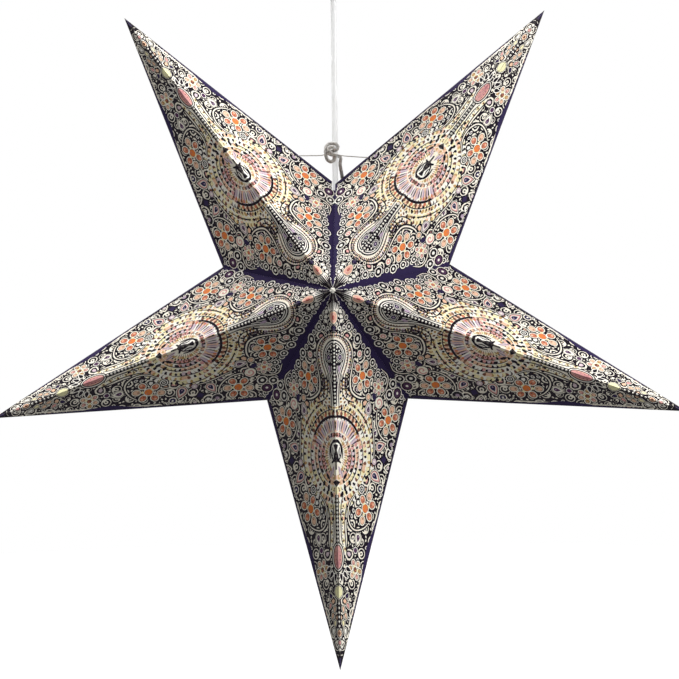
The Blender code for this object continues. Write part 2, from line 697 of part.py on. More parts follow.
def build_lampholder(pivot):
    """Cap, body, core with its contact tongue, and the ring below, all hanging on the cord."""
    bore = CORD_RADIUS + SEAT_GAP
    wall = HOLDER_CAP_WALL
    low = HOLDER_TOP_Z - HOLDER_CAP_HEIGHT
    shape_shares = ((0.36, 0.06), (0.42, 0.22), (0.62, 0.36), (0.86, 0.46), (0.97, 0.56))
    outer = [(HOLDER_NECK_RADIUS, HOLDER_TOP_Z)]
    outer += [(HOLDER_CAP_RADIUS * across, HOLDER_TOP_Z - HOLDER_CAP_HEIGHT * down) for across, down in shape_shares]
    outer += [(HOLDER_CAP_RADIUS, low + wall), (HOLDER_CAP_RADIUS, low)]
    socket = HOLDER_BODY_RADIUS + SEAT_GAP
    roof = HOLDER_BODY_TOP_Z + SEAT_GAP
    inner = [(socket, low), (socket, roof), (HOLDER_BORE_RADIUS, roof + wall), (bore, roof + 2 * wall)]
    profile = outer + inner + [(bore, HOLDER_TOP_Z)]
    place = (0, 0, HOLDER_TOP_Z)
    turned_part("lampholder_cap", shift(profile, place), WHITE_PLASTIC, place, pivot, closed=True)

    ridges = []
    thread_top = low - SEAT_GAP
    thread_pitch = (thread_top - HOLDER_MOUTH_Z) / (HOLDER_THREADS + 1)
    for ridge in range(HOLDER_THREADS):
        crest = thread_top - thread_pitch * (ridge + 1)
        ridges += [(HOLDER_BODY_RADIUS - HOLDER_THREAD, crest + thread_pitch / 2), (HOLDER_BODY_RADIUS, crest)]
    outer = [(HOLDER_BODY_RADIUS, HOLDER_BODY_TOP_Z), (HOLDER_BODY_RADIUS, thread_top)] + ridges
    outer.append((HOLDER_BODY_RADIUS - HOLDER_THREAD, HOLDER_MOUTH_Z))
    profile = outer + [(HOLDER_BORE_RADIUS, HOLDER_MOUTH_Z), (HOLDER_BORE_RADIUS, HOLDER_BODY_TOP_Z)]
    place = (0, 0, HOLDER_MOUTH_Z)
    turned_part("lampholder_body", shift(profile, place), WHITE_PLASTIC, place, pivot, closed=True)

    core_place = (0, 0, CORE_Z + CORE_THICK / 2)
    mesh = round_mesh("lampholder_core", HOLDER_BORE_RADIUS - SEAT_GAP, CORE_THICK, TURNED_STEPS)
    core = add_part("lampholder_core", mesh, WHITE_PLASTIC, core_place, pivot)
    tongue_height = TONGUE_DROP + OVERRUN
    tongue = box_mesh("contact_tongue", (TONGUE_WIDTH, TONGUE_THICK, tongue_height))
    combine(core, add_cutter("contact_tongue", tongue, (0, 0, CORE_Z - tongue_height / 2 + OVERRUN)), "UNION")

    outline = []
    points = 4 * RING_FLUTES
    for step in range(points):
        turn = 2 * math.pi * step / points
        radius = RING_RADIUS - RING_FLUTE_DEPTH * (0.5 - 0.5 * math.cos(turn * RING_FLUTES))
        outline.append((radius * math.cos(turn), radius * math.sin(turn)))
    ring_bore = circle(HOLDER_BODY_RADIUS + SEAT_GAP, TURNED_STEPS)
    ring_z = HOLDER_MOUTH_Z + RING_ABOVE_MOUTH + RING_WIDTH / 2
    flat_outline("lampholder_ring", [outline, ring_bore], RING_WIDTH, WHITE_PLASTIC, (0, 0, ring_z), pivot)


def shift(profile, place):
    """A profile moved into the frame of a part at the given place."""
    return [(radius, height - place[2]) for radius, height in profile]


def build_bulb(pivot):
    """The screw shell with its tip contact, and the frosted globe under it."""
    pitch = SHELL_LENGTH / (SHELL_THREADS + 1)
    tip_z = SHELL_TOP_Z + SHELL_TIP
    tip_foot_share = 1.6
    outer = [(0, tip_z), (SHELL_TIP_RADIUS, tip_z), (SHELL_TIP_RADIUS * tip_foot_share, SHELL_TOP_Z)]
    for thread in range(SHELL_THREADS):
        crest = SHELL_TOP_Z - pitch * (thread + 1)
        outer += [(SHELL_RADIUS - SHELL_THREAD, crest + pitch / 2), (SHELL_RADIUS, crest)]
    outer.append((SHELL_RADIUS - SHELL_THREAD, SHELL_END_Z))
    wall = SHELL_RADIUS - SHELL_THREAD - SHELL_WALL
    inner = [(wall, SHELL_END_Z), (wall, SHELL_TOP_Z - 2 * SHELL_WALL), (0, SHELL_TOP_Z - 2 * SHELL_WALL)]
    place = (0, 0, SHELL_END_Z)
    turned_part("bulb_screw_shell", shift(outer + inner, place), BRASS, place, pivot)

    collar_radius = wall - SEAT_GAP
    collar_top = SHELL_END_Z + SHELL_LENGTH / 2
    globe_start = math.acos(NECK_RADIUS / GLOBE_RADIUS)
    outer = [(collar_radius - GLASS_WALL, collar_top), (collar_radius, collar_top),
             (collar_radius, SHELL_END_Z - SEAT_GAP)]
    steps = FINE_STEPS // 2
    for step in range(steps + 1):
        turn = globe_start - (globe_start + math.pi / 2) * step / steps
        outer.append((GLOBE_RADIUS * math.cos(turn), GLOBE_Z + GLOBE_RADIUS * math.sin(turn)))
    outer[-1] = (0, GLOBE_Z - GLOBE_RADIUS)
    inner_radius = GLOBE_RADIUS - GLASS_WALL
    inner = [(0, GLOBE_Z - inner_radius)]
    for step in range(1, steps + 1):
        turn = -math.pi / 2 + (globe_start + math.pi / 2) * step / steps
        inner.append((inner_radius * math.cos(turn), GLOBE_Z + inner_radius * math.sin(turn)))
    inner.append((collar_radius - GLASS_WALL, SHELL_END_Z - SEAT_GAP))
    place = (0, 0, GLOBE_Z)
    turned_part("bulb_globe", shift(outer + inner, place), FROSTED_GLASS, place, pivot, closed=True)


def add_string(name, route, stop, parent):
    """A tie string, with a stopper knot on the end that lies inside its arm."""
    origin = world_place(parent)
    string = as_mesh_part(tube_part(
        name, route, STRING_RADIUS, 6 * STRING_RADIUS, 2, GREY_STRING, origin, parent))
    if stop is not None:
        knot = bmesh.new()
        bmesh.ops.create_uvsphere(
            knot, u_segments=FINE_STEPS // 2, v_segments=FINE_STEPS // 3, radius=STOP_KNOT_RADIUS)
        mesh = bpy.data.meshes.new(f"{name}_stop")
        knot.to_mesh(mesh)
        knot.free()
        combine(string, add_cutter(f"{name}_stop", mesh, stop), "UNION")
    return string


def build_cords(pivot, panels):
    """The lamp cord, the knotted hanging tie, and the string that ties the top seam shut."""
    tube_part("feed_cord", FEED_CORD_ROUTE, CORD_RADIUS, 2 * CORD_RADIUS, 3, WHITE_CORD, (0, 0, 0))
    place = world_place(pivot)
    tube_part("lamp_cord", LAMP_CORD_ROUTE, CORD_RADIUS, 5 * CORD_RADIUS, 4, WHITE_CORD, place, pivot)
    tube_part("hanging_tie", TAIL_ROUTE, TAIL_RADIUS, 2 * TAIL_RADIUS, 2, GREY_TIE, place, pivot)
    tube_part("hanging_knot", KNOT_ROUTE, TAIL_RADIUS, TAIL_RADIUS, 2, GREY_TIE, place, pivot)
    gap = least_gap_to_itself(KNOT_ROUTE, TAIL_RADIUS)
    print(f"least gap of the knot's cord to itself: {gap:.5f} m")
    add_string("tie_string_middle", MIDDLE_STRING_ROUTE, None, pivot)
    for side, route in (("left", LEFT_STRING_ROUTE), ("right", RIGHT_STRING_ROUTE)):
        end = Vector(route[0] if side == "left" else route[-1])
        add_string(f"tie_string_{side}", route, end, panels[f"upper_{side}_arm_front_upper_panel"])


def build():
    """The whole lantern, from the ceiling down."""
    build_ceiling_fitting()
    swing = add_pivot("swing_pivot", SWING_PIVOT)
    build_sleeve(swing)
    twist = add_pivot("twist_pivot", SWING_PIVOT, swing)
    build_lampholder(twist)
    bulb = add_pivot("bulb_axis", (0, 0, GLOBE_Z), twist)
    build_bulb(bulb)
    panels = build_star(twist)
    cut_upper_arms(panels)
    build_cords(twist, panels)


build()
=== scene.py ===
"""A folded paper star lantern with a print of flowers and curls, hung from a white lamp cord by a tie."""

import math
import random

import bmesh
import bpy
from mathutils import Matrix, Vector
from mathutils.geometry import delaunay_2d_cdt


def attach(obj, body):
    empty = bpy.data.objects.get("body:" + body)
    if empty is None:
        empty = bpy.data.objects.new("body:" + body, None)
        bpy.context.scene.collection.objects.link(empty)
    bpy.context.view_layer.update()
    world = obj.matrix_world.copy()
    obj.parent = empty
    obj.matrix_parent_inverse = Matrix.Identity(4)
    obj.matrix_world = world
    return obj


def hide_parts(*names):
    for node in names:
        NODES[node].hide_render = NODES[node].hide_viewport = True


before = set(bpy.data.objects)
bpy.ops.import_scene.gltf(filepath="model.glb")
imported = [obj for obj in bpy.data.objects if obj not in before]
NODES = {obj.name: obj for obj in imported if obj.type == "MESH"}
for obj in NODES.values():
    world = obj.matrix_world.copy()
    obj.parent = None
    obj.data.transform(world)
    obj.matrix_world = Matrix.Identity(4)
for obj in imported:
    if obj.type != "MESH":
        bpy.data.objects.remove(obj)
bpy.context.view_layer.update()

MM = 0.001
RIGHT, DEPTH, UP = Vector((1, 0, 0)), Vector((0, 1, 0)), Vector((0, 0, 1))

# the star, in metres
STAR_REACH = 0.3155
NOTCH_REACH = 0.104
HALF_DEPTH = 0.110
PAPER = 0.0005
STAR_CENTRE = Vector((0, 0, -0.338))
ARM_NAMES = ("upper_right", "upper_left", "left", "bottom", "right")
FIRST_ARM_TURN = math.radians(54)
HALF_WEDGE = math.radians(36)
# half angles inside each kind of crease, at rest and folded in to the end of the range
RIDGE_ANGLES = (math.radians(38.749), math.radians(26.219))
VALLEY_ANGLES = (math.radians(120.652), math.radians(134.003))
SIDE_ANGLES = (math.radians(107.541 / 2), math.radians(131.583 / 2))

# the cords, in metres
CORD_RADIUS = 0.0024
TAIL_RADIUS = 0.0016
STRING_RADIUS = 0.00045
FEED_CORD_ROUTE = (
    (0, 0, -0.0458), (0, 0, -0.0400), (0, 0, -0.0330), (0, -0.0008, -0.0280), (0, -0.0026, -0.0232),
    (0, -0.0038, -0.0190), (0, -0.0040, -0.0147),
)
LAMP_CORD_ROUTE = (
    (0, 0, -0.0506), (0, 0, -0.0640), (0, 0, -0.0800), (0, 0.0006, -0.1100), (0, 0.0015, -0.1500),
    (0, 0.0024, -0.1900), (0, 0.0031, -0.2200), (0, 0.0032, -0.2360), (0, 0.0022, -0.2520),
    (0, 0.0007, -0.2640), (0, 0, -0.2740), (0, 0, -0.2840),
)
TAIL_ROUTE = (
    (0.0044, -0.0004, -0.2148), (0.0046, -0.0009, -0.2175), (0.0052, 0.0006, -0.2215),
    (0.0060, 0.0034, -0.2262), (0.0066, 0.0056, -0.2310), (0.0067, 0.0066, -0.2360),
    (0.0064, 0.0066, -0.2420), (0.0058, 0.0056, -0.2480), (0.0052, 0.0042, -0.2540),
    (0.0049, 0.0030, -0.2600),
)
KNOT_ROUTE = (
    (0.0045, 0, -0.2144), (0.0050, 0.0022, -0.2106), (0.0037, 0.0057, -0.2080), (0, 0.0072, -0.2068),
    (-0.0040, 0.0061, -0.2060), (-0.0065, 0.0027, -0.2054), (-0.0046, -0.0010, -0.2050),
    (-0.0010, -0.0022, -0.2047), (0.0018, -0.0024, -0.2036), (0.0026, -0.0024, -0.2012),
    (0.0013, -0.0021, -0.1989), (-0.0017, -0.0018, -0.1980), (-0.0050, -0.0017, -0.1984),
    (-0.0073, -0.0027, -0.2006), (-0.0080, -0.0038, -0.2038), (-0.0080, -0.0043, -0.2074),
    (-0.0074, -0.0040, -0.2110), (-0.0056, -0.0036, -0.2138), (-0.0026, -0.0033, -0.2144),
    (-0.0004, -0.0033, -0.2123), (-0.0002, -0.0037, -0.2094), (-0.0023, -0.0050, -0.2078),
    (-0.0045, -0.0056, -0.2062), (-0.0049, -0.0057, -0.2038), (-0.0032, -0.0056, -0.2021),
    (-0.0009, -0.0056, -0.2026), (-0.0001, -0.0060, -0.2046),
)
LEFT_STRING_ROUTE = (
    (-0.0430, 0, -0.2080), (-0.0380, 0, -0.2081), (-0.0318, 0, -0.2081), (-0.0260, -0.0010, -0.2084),
    (-0.0200, -0.0023, -0.2087), (-0.0155, -0.0034, -0.2090), (-0.0114, -0.0046, -0.2091),
)
MIDDLE_STRING_ROUTE = (
    (-0.0110, -0.0047, -0.2091), (-0.0095, -0.0066, -0.2091), (-0.0063, -0.0075, -0.2092),
    (-0.0025, -0.0076, -0.2093), (0.0012, -0.0071, -0.2094), (0.0048, -0.0055, -0.2096),
    (0.0078, -0.0038, -0.2097),
)
RIGHT_STRING_ROUTE = (
    (0.0082, -0.0037, -0.2097), (0.0120, -0.0028, -0.2099), (0.0170, -0.0018, -0.2101),
    (0.0230, -0.0007, -0.2104), (0.0287, 0, -0.2106), (0.0340, 0, -0.2107), (0.0390, 0, -0.2106),
)


def in_scene(name, data):
    """A new object in the scene."""
    made = bpy.data.objects.new(name, data)
    bpy.context.scene.collection.objects.link(made)
    return made


def circle(middle, radius, first, second, corners):
    """Places spaced evenly on a circle that lies along two directions."""
    return [Vector(middle) + radius * (first * math.cos(a) + second * math.sin(a))
            for a in (math.tau * k / corners for k in range(corners))]


# Camera and light

# each soft light's direction from the star, its distance and width in metres, and its level
SOFTBOXES = {
    "top_softbox": ((-0.28, -0.04, 0.93), 2.2, 1.5, 1.58),
    "right_softbox": ((0.96, -0.20, 0.26), 2.2, 1.3, 1.20),
    "left_softbox": ((-0.95, -0.25, -0.10), 2.2, 1.3, 0.12),
}
ROOM_LEVEL = 0.07       # how bright the white room is to the star
FLOOR_RADIUS = 9.0
FLOOR_HEIGHT = -1.75
FLOOR_CORNERS = 96


def place_camera():
    """The photograph's view: nearly level, a little to the left of the star's front."""
    picture, focal = 679, 1084.65                           # in pixels
    sideways, upwards, distance = -0.0085, 0.1024, 3.0      # where the star's middle is, in star reaches
    yaw, pitch, roll = math.radians(-1.34), math.radians(-3.01), math.radians(-0.60)
    turned = Matrix.Rotation(pitch, 3, "X") @ Matrix.Rotation(yaw, 3, "Z") @ Matrix.Rotation(roll, 3, "Y")
    back = Matrix((turned[0], turned[2], -turned[1])).transposed()
    offset = Vector((sideways, upwards, -distance))
    data = bpy.data.cameras.new("camera")
    data.sensor_width = 36
    data.lens = focal / picture * data.sensor_width
    data.clip_start = 0.01
    data.clip_end = 100
    camera = in_scene("camera", data)
    camera.matrix_world = Matrix.Translation(STAR_CENTRE - STAR_REACH * (back @ offset)) @ back.to_4x4()
    bpy.context.scene.camera = camera


def softbox(name, towards, distance, side, level):
    """A square soft light. A level of 1 shows a white surface that faces it as white."""
    data = bpy.data.lights.new(name, "AREA")
    data.shape = "SQUARE"
    data.size = side
    data.energy = level * (math.pi * distance) ** 2
    lamp = in_scene(name, data)
    towards = Vector(towards).normalized()
    lamp.location = STAR_CENTRE + towards * distance
    lamp.rotation_euler = towards.to_track_quat("Z", "Y").to_euler()


def white_to_the_eye(tree):
    """A mask that is 1 for camera, glossy and transmission rays."""
    path = tree.nodes.new("ShaderNodeLightPath").outputs
    seen = calc(tree, "MAXIMUM", path["Is Camera Ray"], path["Is Glossy Ray"])
    return calc(tree, "MAXIMUM", seen, path["Is Transmission Ray"])


def light_scene():
    """The three soft lights, and a room that is white to the camera and nearly dark to the star."""
    bpy.context.scene.view_settings.view_transform = "Standard"
    for name, values in SOFTBOXES.items():
        softbox(name, *values)
    world = bpy.data.worlds.new("studio")
    bpy.context.scene.world = world
    world.use_nodes = True
    tree = world.node_tree
    background = tree.nodes["Background"].inputs
    give(tree, background["Color"], (1, 1, 1))
    give(tree, background["Strength"], ramp(tree, white_to_the_eye(tree), 0.0, 1.0, ROOM_LEVEL))


def lay_floor():
    """A round pale floor well below the star, that looks white to the camera but keeps a soft shadow."""
    mesh = bpy.data.meshes.new("floor")
    ring = circle((0, 0, FLOOR_HEIGHT), FLOOR_RADIUS, RIGHT, DEPTH, FLOOR_CORNERS)
    mesh.from_pydata([tuple(place) for place in ring], [], [tuple(range(FLOOR_CORNERS))])
    material, tree, shader = new_material("pale_floor")
    mottle = noise(tree, place_of(tree), Scale=1.3, Detail=4.0)
    give(tree, shader["Base Color"], blend_colours(tree, mottle, (0.30, 0.30, 0.295), (0.34, 0.34, 0.335)))
    give(tree, shader["Roughness"], 0.8)
    give(tree, shader["Emission Color"], (1, 1, 1))
    give(tree, shader["Emission Strength"], white_to_the_eye(tree))
    mesh.materials.append(material)
    in_scene("floor", mesh)


# Node helpers

FLOAT, VECTOR = "NodeSocketFloat", "NodeSocketVector"


def new_material(name):
    """A new material, its node tree and its shader's sockets."""
    material = bpy.data.materials.new(name)
    material.use_nodes = True
    return material, material.node_tree, material.node_tree.nodes["Principled BSDF"].inputs


def give(tree, socket, value):
    """Sets a socket to a number or a colour, or feeds it from another node."""
    if isinstance(value, (int, float)):
        socket.default_value = value
    elif isinstance(value, tuple):
        socket.default_value = (*value, 1)
    else:
        tree.links.new(value, socket)


def node(tree, kind, **values):
    """A new node with its sockets given by name."""
    made = tree.nodes.new(kind)
    for name, value in values.items():
        give(tree, made.inputs[name.replace("_", " ")], value)
    return made


def noise(tree, place, **values):
    """Soft noise at a place, with its other sockets given by name."""
    return node(tree, "ShaderNodeTexNoise", Vector=place, **values).outputs["Fac"]


def calc(tree, operation, first, second, clamp=False):
    """One sum on two sockets or numbers."""
    made = tree.nodes.new("ShaderNodeMath")
    made.operation = operation
    made.use_clamp = clamp
    give(tree, made.inputs[0], first)
    give(tree, made.inputs[1], second)
    return made.outputs[0]


def blend_colours(tree, amount, first, second, mode="MIX"):
    """One colour laid over another by an amount."""
    made = tree.nodes.new("ShaderNodeMix")
    made.data_type = "RGBA"
    made.blend_type = mode
    for name, value in (("Factor", amount), ("A", first), ("B", second)):
        give(tree, made.inputs[name], value)
    return made.outputs["Result"]


def ramp(tree, value, low, high, to_low=0.0, to_high=1.0):
    """The value carried from one range to another, and kept inside it."""
    made = node(tree, "ShaderNodeMapRange", Value=value, From_Min=low, From_Max=high, To_Min=to_low,
                To_Max=to_high)
    return made.outputs["Result"]


def place_of(tree):
    """A piece's own place, in metres."""
    return tree.nodes.new("ShaderNodeTexCoord").outputs["Object"]


def mesh_value(tree, name):
    """What the mesh holds under that name."""
    made = tree.nodes.new("ShaderNodeAttribute")
    made.attribute_name = name
    return made.outputs


def new_group(name, inputs, outputs):
    """A shader node group with named sockets: its tree, its inputs and its outputs."""
    tree = bpy.data.node_groups.new(name, "ShaderNodeTree")
    for side, sockets in (("INPUT", inputs), ("OUTPUT", outputs)):
        for socket, kind in sockets.items():
            tree.interface.new_socket(name=socket, in_out=side, socket_type=kind)
    return tree, tree.nodes.new("NodeGroupInput").outputs, tree.nodes.new("NodeGroupOutput").inputs


def use_group(tree, name, **values):
    """What a shared effect puts out, with its sockets given by name."""
    placed = tree.nodes.new("ShaderNodeGroup")
    placed.node_tree = bpy.data.node_groups[name]
    for socket, value in values.items():
        give(tree, placed.inputs[socket], value)
    return placed.outputs


# Shared effects

def make_paper_sheet():
    """Soft handmade paper: drifting tone, fibres that lie all ways, and a fine tooth."""
    tree, given, result = new_group("paper_sheet", {"Place": VECTOR}, {"Tone": FLOAT, "Tooth": FLOAT})
    place = given["Place"]
    cloud = ramp(tree, noise(tree, place, Scale=28.0, Detail=3.0), 0.3, 0.7, 0.2, 0.9)
    flecks = ramp(tree, noise(tree, place, Scale=520.0, Detail=2.0, Roughness=0.6), 0.50, 0.64, 0.15, -1.2)
    waves = node(tree, "ShaderNodeTexWave", Vector=place, Scale=170.0, Distortion=14.0, Detail=2.0,
                 Detail_Scale=1.6)
    fibres = ramp(tree, waves.outputs["Fac"], 0.92, 1.0)
    tooth = noise(tree, place, Scale=900.0, Detail=3.0, Roughness=0.7)
    tone = calc(tree, "ADD", cloud, flecks)
    give(tree, result["Tone"], calc(tree, "ADD", tone, calc(tree, "MULTIPLY", fibres, 0.4)))
    give(tree, result["Tooth"], calc(tree, "ADD", tooth, calc(tree, "MULTIPLY", fibres, 0.5)))


def make_crease_rub():
    """Where a folded sheet is rubbed: 1 along the ridge and the side, broken up."""
    tree, given, result = new_group("crease_rub", {"Place": VECTOR, "Width": FLOAT}, {"Rub": FLOAT})
    split = node(tree, "ShaderNodeSeparateXYZ", Vector=given["Place"]).outputs
    notch_along, notch_across, length = flat_corners()
    side = math.hypot(length - notch_along, notch_across)
    short_of_tip = calc(tree, "SUBTRACT", length, split["X"])
    to_side = calc(tree, "SUBTRACT", calc(tree, "MULTIPLY", short_of_tip, notch_across / side),
                   calc(tree, "MULTIPLY", split["Y"], (length - notch_along) / side))
    nearest = calc(tree, "MINIMUM", split["Y"], to_side)
    near = calc(tree, "SUBTRACT", 1.0, calc(tree, "DIVIDE", nearest, given["Width"]), clamp=True)
    broken = ramp(tree, noise(tree, given["Place"], Scale=260.0, Detail=3.0), 0.46, 0.62)
    give(tree, result["Rub"], calc(tree, "MULTIPLY", near, broken))


def make_grain():
    """Fine moulded or cast grain with faint smudges, for hard pieces."""
    tree, given, result = new_group(
        "grain", {"Place": VECTOR, "Scale": FLOAT}, {"Height": FLOAT, "Smudge": FLOAT})
    place = given["Place"]
    give(tree, result["Height"], noise(tree, place, Scale=given["Scale"], Detail=3.0))
    wide = noise(tree, place, Scale=60.0, Detail=4.0, Distortion=0.6)
    give(tree, result["Smudge"], ramp(tree, wide, 0.35, 0.75))


# Materials

def set_surface(tree, shader, colour, roughness, height, depth, **constants):
    """Gives a shader its colour, its roughness, a bump that deep, and its constants by name."""
    give(tree, shader["Base Color"], colour)
    give(tree, shader["Roughness"], roughness)
    bump = node(tree, "ShaderNodeBump", Height=height, Distance=depth)
    give(tree, shader["Normal"], bump.outputs["Normal"])
    for name, value in constants.items():
        give(tree, shader[name.replace("_", " ")], value)


def grained(name, scale):
    """A new material, its node tree, its shader's sockets, and grain at that scale."""
    material, tree, shader = new_material(name)
    return material, tree, shader, use_group(tree, "grain", Place=place_of(tree), Scale=scale)


def printed_paper():
    """Ink printed on cream paper: uneven ink, fibres, and creases rubbed pale."""
    material, tree, shader = new_material("printed_paper")
    place = mesh_value(tree, "paper_place")["Vector"]
    sheet = use_group(tree, "paper_sheet", Place=place)
    rub = use_group(tree, "crease_rub", Place=place, Width=0.0012)
    tone = blend_colours(tree, ramp(tree, sheet["Tone"], -1.0, 1.0), (0.84, 0.80, 0.75), (1.0, 1.0, 0.98))
    inked = blend_colours(tree, 1.0, mesh_value(tree, "ink")["Color"], tone, "MULTIPLY")
    worn = blend_colours(tree, calc(tree, "MULTIPLY", rub["Rub"], 0.16), inked, (0.80, 0.74, 0.60))
    rough = ramp(tree, sheet["Tooth"], 0.2, 1.2, 0.60, 0.80)
    set_surface(tree, shader, worn, rough, sheet["Tooth"], depth=0.00006, Specular_IOR_Level=0.06)
    return material


def white_cord_skin():
    """Smooth white cord sheath with handling marks, that lets some light through."""
    material, tree, shader, grain = grained("white_cord_skin", 1500.0)
    colour = blend_colours(tree, grain["Smudge"], (0.96, 0.96, 0.96), (0.92, 0.92, 0.91))
    rough = ramp(tree, grain["Smudge"], 0.0, 1.0, 0.30, 0.46)
    set_surface(tree, shader, colour, rough, grain["Height"], depth=0.00002, Transmission_Weight=0.8)
    return material


def twisted_fibre(name, light, dark, scale):
    """Twisted cotton: its strands are in the mesh, its fibres in the bump."""
    material, tree, shader, grain = grained(name, scale)
    colour = blend_colours(tree, ramp(tree, grain["Height"], 0.3, 0.7), dark, light)
    rough = ramp(tree, grain["Height"], 0.2, 0.8, 0.92, 0.74)
    set_surface(tree, shader, colour, rough, grain["Height"], depth=0.00008, Sheen_Weight=0.3)
    return material


def moulded(name, light, dark, smooth, scale=900.0):
    """Moulded plastic or rubber with fine grain and smudges."""
    material, tree, shader, grain = grained(name, scale)
    colour = blend_colours(tree, grain["Smudge"], light, dark)
    rough = ramp(tree, grain["Smudge"], 0.0, 1.0, smooth, smooth + 0.14)
    set_surface(tree, shader, colour, rough, grain["Height"], depth=0.00003)
    return material


def plated(name, light, dark, smooth):
    """Drawn or plated metal with a fine rolled grain."""
    material, tree, shader, grain = grained(name, 1300.0)
    colour = blend_colours(tree, grain["Smudge"], light, dark)
    rough = ramp(tree, grain["Height"], 0.3, 0.7, smooth - 0.05, smooth + 0.1)
    set_surface(tree, shader, colour, rough, grain["Height"], depth=0.00002, Metallic=1.0)
    return material


def frosted_glass():
    """The bulb's globe: white inside, and a little see-through."""
    material, tree, shader, grain = grained("frosted_glass", 1800.0)
    colour = blend_colours(tree, grain["Smudge"], (0.93, 0.93, 0.91), (0.88, 0.88, 0.86))
    rough = ramp(tree, grain["Height"], 0.3, 0.7, 0.34, 0.46)
    set_surface(tree, shader, colour, rough, grain["Height"], depth=0.00003, Transmission_Weight=0.35)
    return material


# Cords

# each laid cord's radius and plies, the length of one turn, the grooves' depth as a share, and its corners
TIE = dict(radius=TAIL_RADIUS, plies=3, lay=0.0105, groove=0.16, corners=18, spacing=0.00035)
STRING = dict(radius=STRING_RADIUS, plies=2, lay=0.0022, groove=0.30, corners=10)
STRING_STEP, STOPPER_STEP, CORD_STEP = 0.00025, 0.0002, 0.002
CORD_ROUNDNESS = 6
ROUTE_SAMPLES = 24


def route_length(route):
    """How long a row of points is, from end to end."""
    return sum((b - a).length for a, b in zip(route, route[1:]))


def smooth_route(points, spacing):
    """Evenly spaced points along a smooth curve through the route's own points."""
    points = [Vector(point) for point in points]
    ends = [2 * points[0] - points[1]] + points + [2 * points[-1] - points[-2]]
    fine = []
    for before, start, end, after in zip(ends, ends[1:], ends[2:], ends[3:]):
        for step in range(ROUTE_SAMPLES):
            t = step / ROUTE_SAMPLES
            fine.append(0.5 * (
                2 * start + (end - before) * t + (2 * before - 5 * start + 4 * end - after) * t ** 2
                + (3 * start - before - 3 * end + after) * t ** 3))
    fine.append(points[-1])
    length = route_length(fine)
    count = max(2, round(length / spacing))
    route = [fine[0]]
    travelled = 0
    for a, b in zip(fine, fine[1:]):
        travelled += (b - a).length
        if travelled >= len(route) * length / count and len(route) < count:
            route.append(b)
    return route + [fine[-1]]


def add_piece(name, data, material, body, replaced=()):
    """A new piece with its material, the body it rides on and the nodes that it stands for."""
    piece = in_scene(name, data)
    data.materials.append(material)
    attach(piece, body)
    if replaced:
        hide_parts(*replaced)
    return piece


def smooth_mesh(name, verts, faces):
    """A new mesh with smooth shading."""
    mesh = bpy.data.meshes.new(name)
    mesh.from_pydata([tuple(place) for place in verts], [], faces)
    mesh.polygons.foreach_set("use_smooth", [True] * len(mesh.polygons))
    return mesh


def between(first, second):
    """The faces between two rings of point numbers. A ring on the axis is one number again and again."""
    faces = []
    for k in range(len(first)):
        beside = (k + 1) % len(first)
        corners = (first[k], first[beside], second[beside], second[k])
        faces.append([corner for n, corner in enumerate(corners) if corner not in corners[:n]])
    return faces


def plain_cord(name, points, material, body, replaced):
    """A smooth round cord: one open curve with a round section."""
    route = smooth_route(points, CORD_STEP)
    curve = bpy.data.curves.new(name, "CURVE")
    curve.dimensions = "3D"
    curve.bevel_depth = CORD_RADIUS
    curve.bevel_resolution = CORD_ROUNDNESS
    curve.use_fill_caps = True
    spline = curve.splines.new("POLY")
    spline.points.add(len(route) - 1)
    for spot, place in zip(spline.points, route):
        spot.co = (*place, 1)
    spline.use_smooth = True
    return add_piece(name, curve, material, body, replaced), route_length(route)


def laid_cord(name, points, material, body, slot, replaced, radius, plies, lay, groove, corners, spacing):
    """A cord of twisted plies: a mesh tube whose round lobes wind along it once in each lay."""
    route = smooth_route(points, spacing)
    forwards = [(after - before).normalized()
                for before, after in zip([route[0]] + route[:-1], route[1:] + [route[-1]])]
    aside = forwards[0].orthogonal().normalized()
    travelled = 0
    verts, rings = [], []
    for step, (place, forward) in enumerate(zip(route, forwards)):
        if step:
            travelled += (place - route[step - 1]).length
            aside = (aside - forward * aside.dot(forward)).normalized()
        up = forward.cross(aside)
        wind = math.tau * travelled / lay
        rings.append(range(len(verts), len(verts) + corners))
        for corner in range(corners):
            turn = math.tau * corner / corners
            lobe = abs(math.sin((turn - wind) * plies / 2))
            reach = radius * (1 - groove * (1 - lobe))
            verts.append(place + reach * (math.cos(turn) * aside + math.sin(turn) * up))
    faces = [face for first, second in zip(rings, rings[1:]) for face in between(first, second)]
    faces += [tuple(rings[0])[::-1], tuple(rings[-1])]
    return add_piece(name, smooth_mesh(name, verts, faces), material, body, replaced), route


def stopper_route(end, away):
    """A few tight turns round the end of a string that runs away from its end along X."""
    turns, steps, reach, advance = 3, 30, 0.0011, 0.0024
    return [(end[0] + away * advance * k / steps, end[1] + reach * math.cos(math.tau * turns * k / steps),
             end[2] + reach * math.sin(math.tau * turns * k / steps)) for k in range(steps + 1)]


# The print

# inks as they look, as shares of red, green and blue light
INKS = {
    "cream": (0.975, 0.932, 0.830),
    "bone": (0.980, 0.960, 0.905),
    "butter": (0.940, 0.860, 0.540),
    "black": (0.006, 0.003, 0.008),
    "purple": (0.026, 0.017, 0.066),
    "plum": (0.085, 0.035, 0.090),
    "lavender": (0.480, 0.370, 0.500),
    "lilac": (0.720, 0.590, 0.660),
    "orange": (0.850, 0.240, 0.060),
    "salmon": (0.680, 0.225, 0.130),
    "peach": (0.880, 0.590, 0.420),
    "rose": (0.760, 0.400, 0.380),
    "red": (0.540, 0.100, 0.100),
    "mauve": (0.520, 0.200, 0.230),
    "pale": (0.900, 0.870, 0.540),
    "ochre": (0.600, 0.390, 0.160),
    "brown": (0.200, 0.085, 0.055),
    "sheet": (0.800, 0.740, 0.610),
}
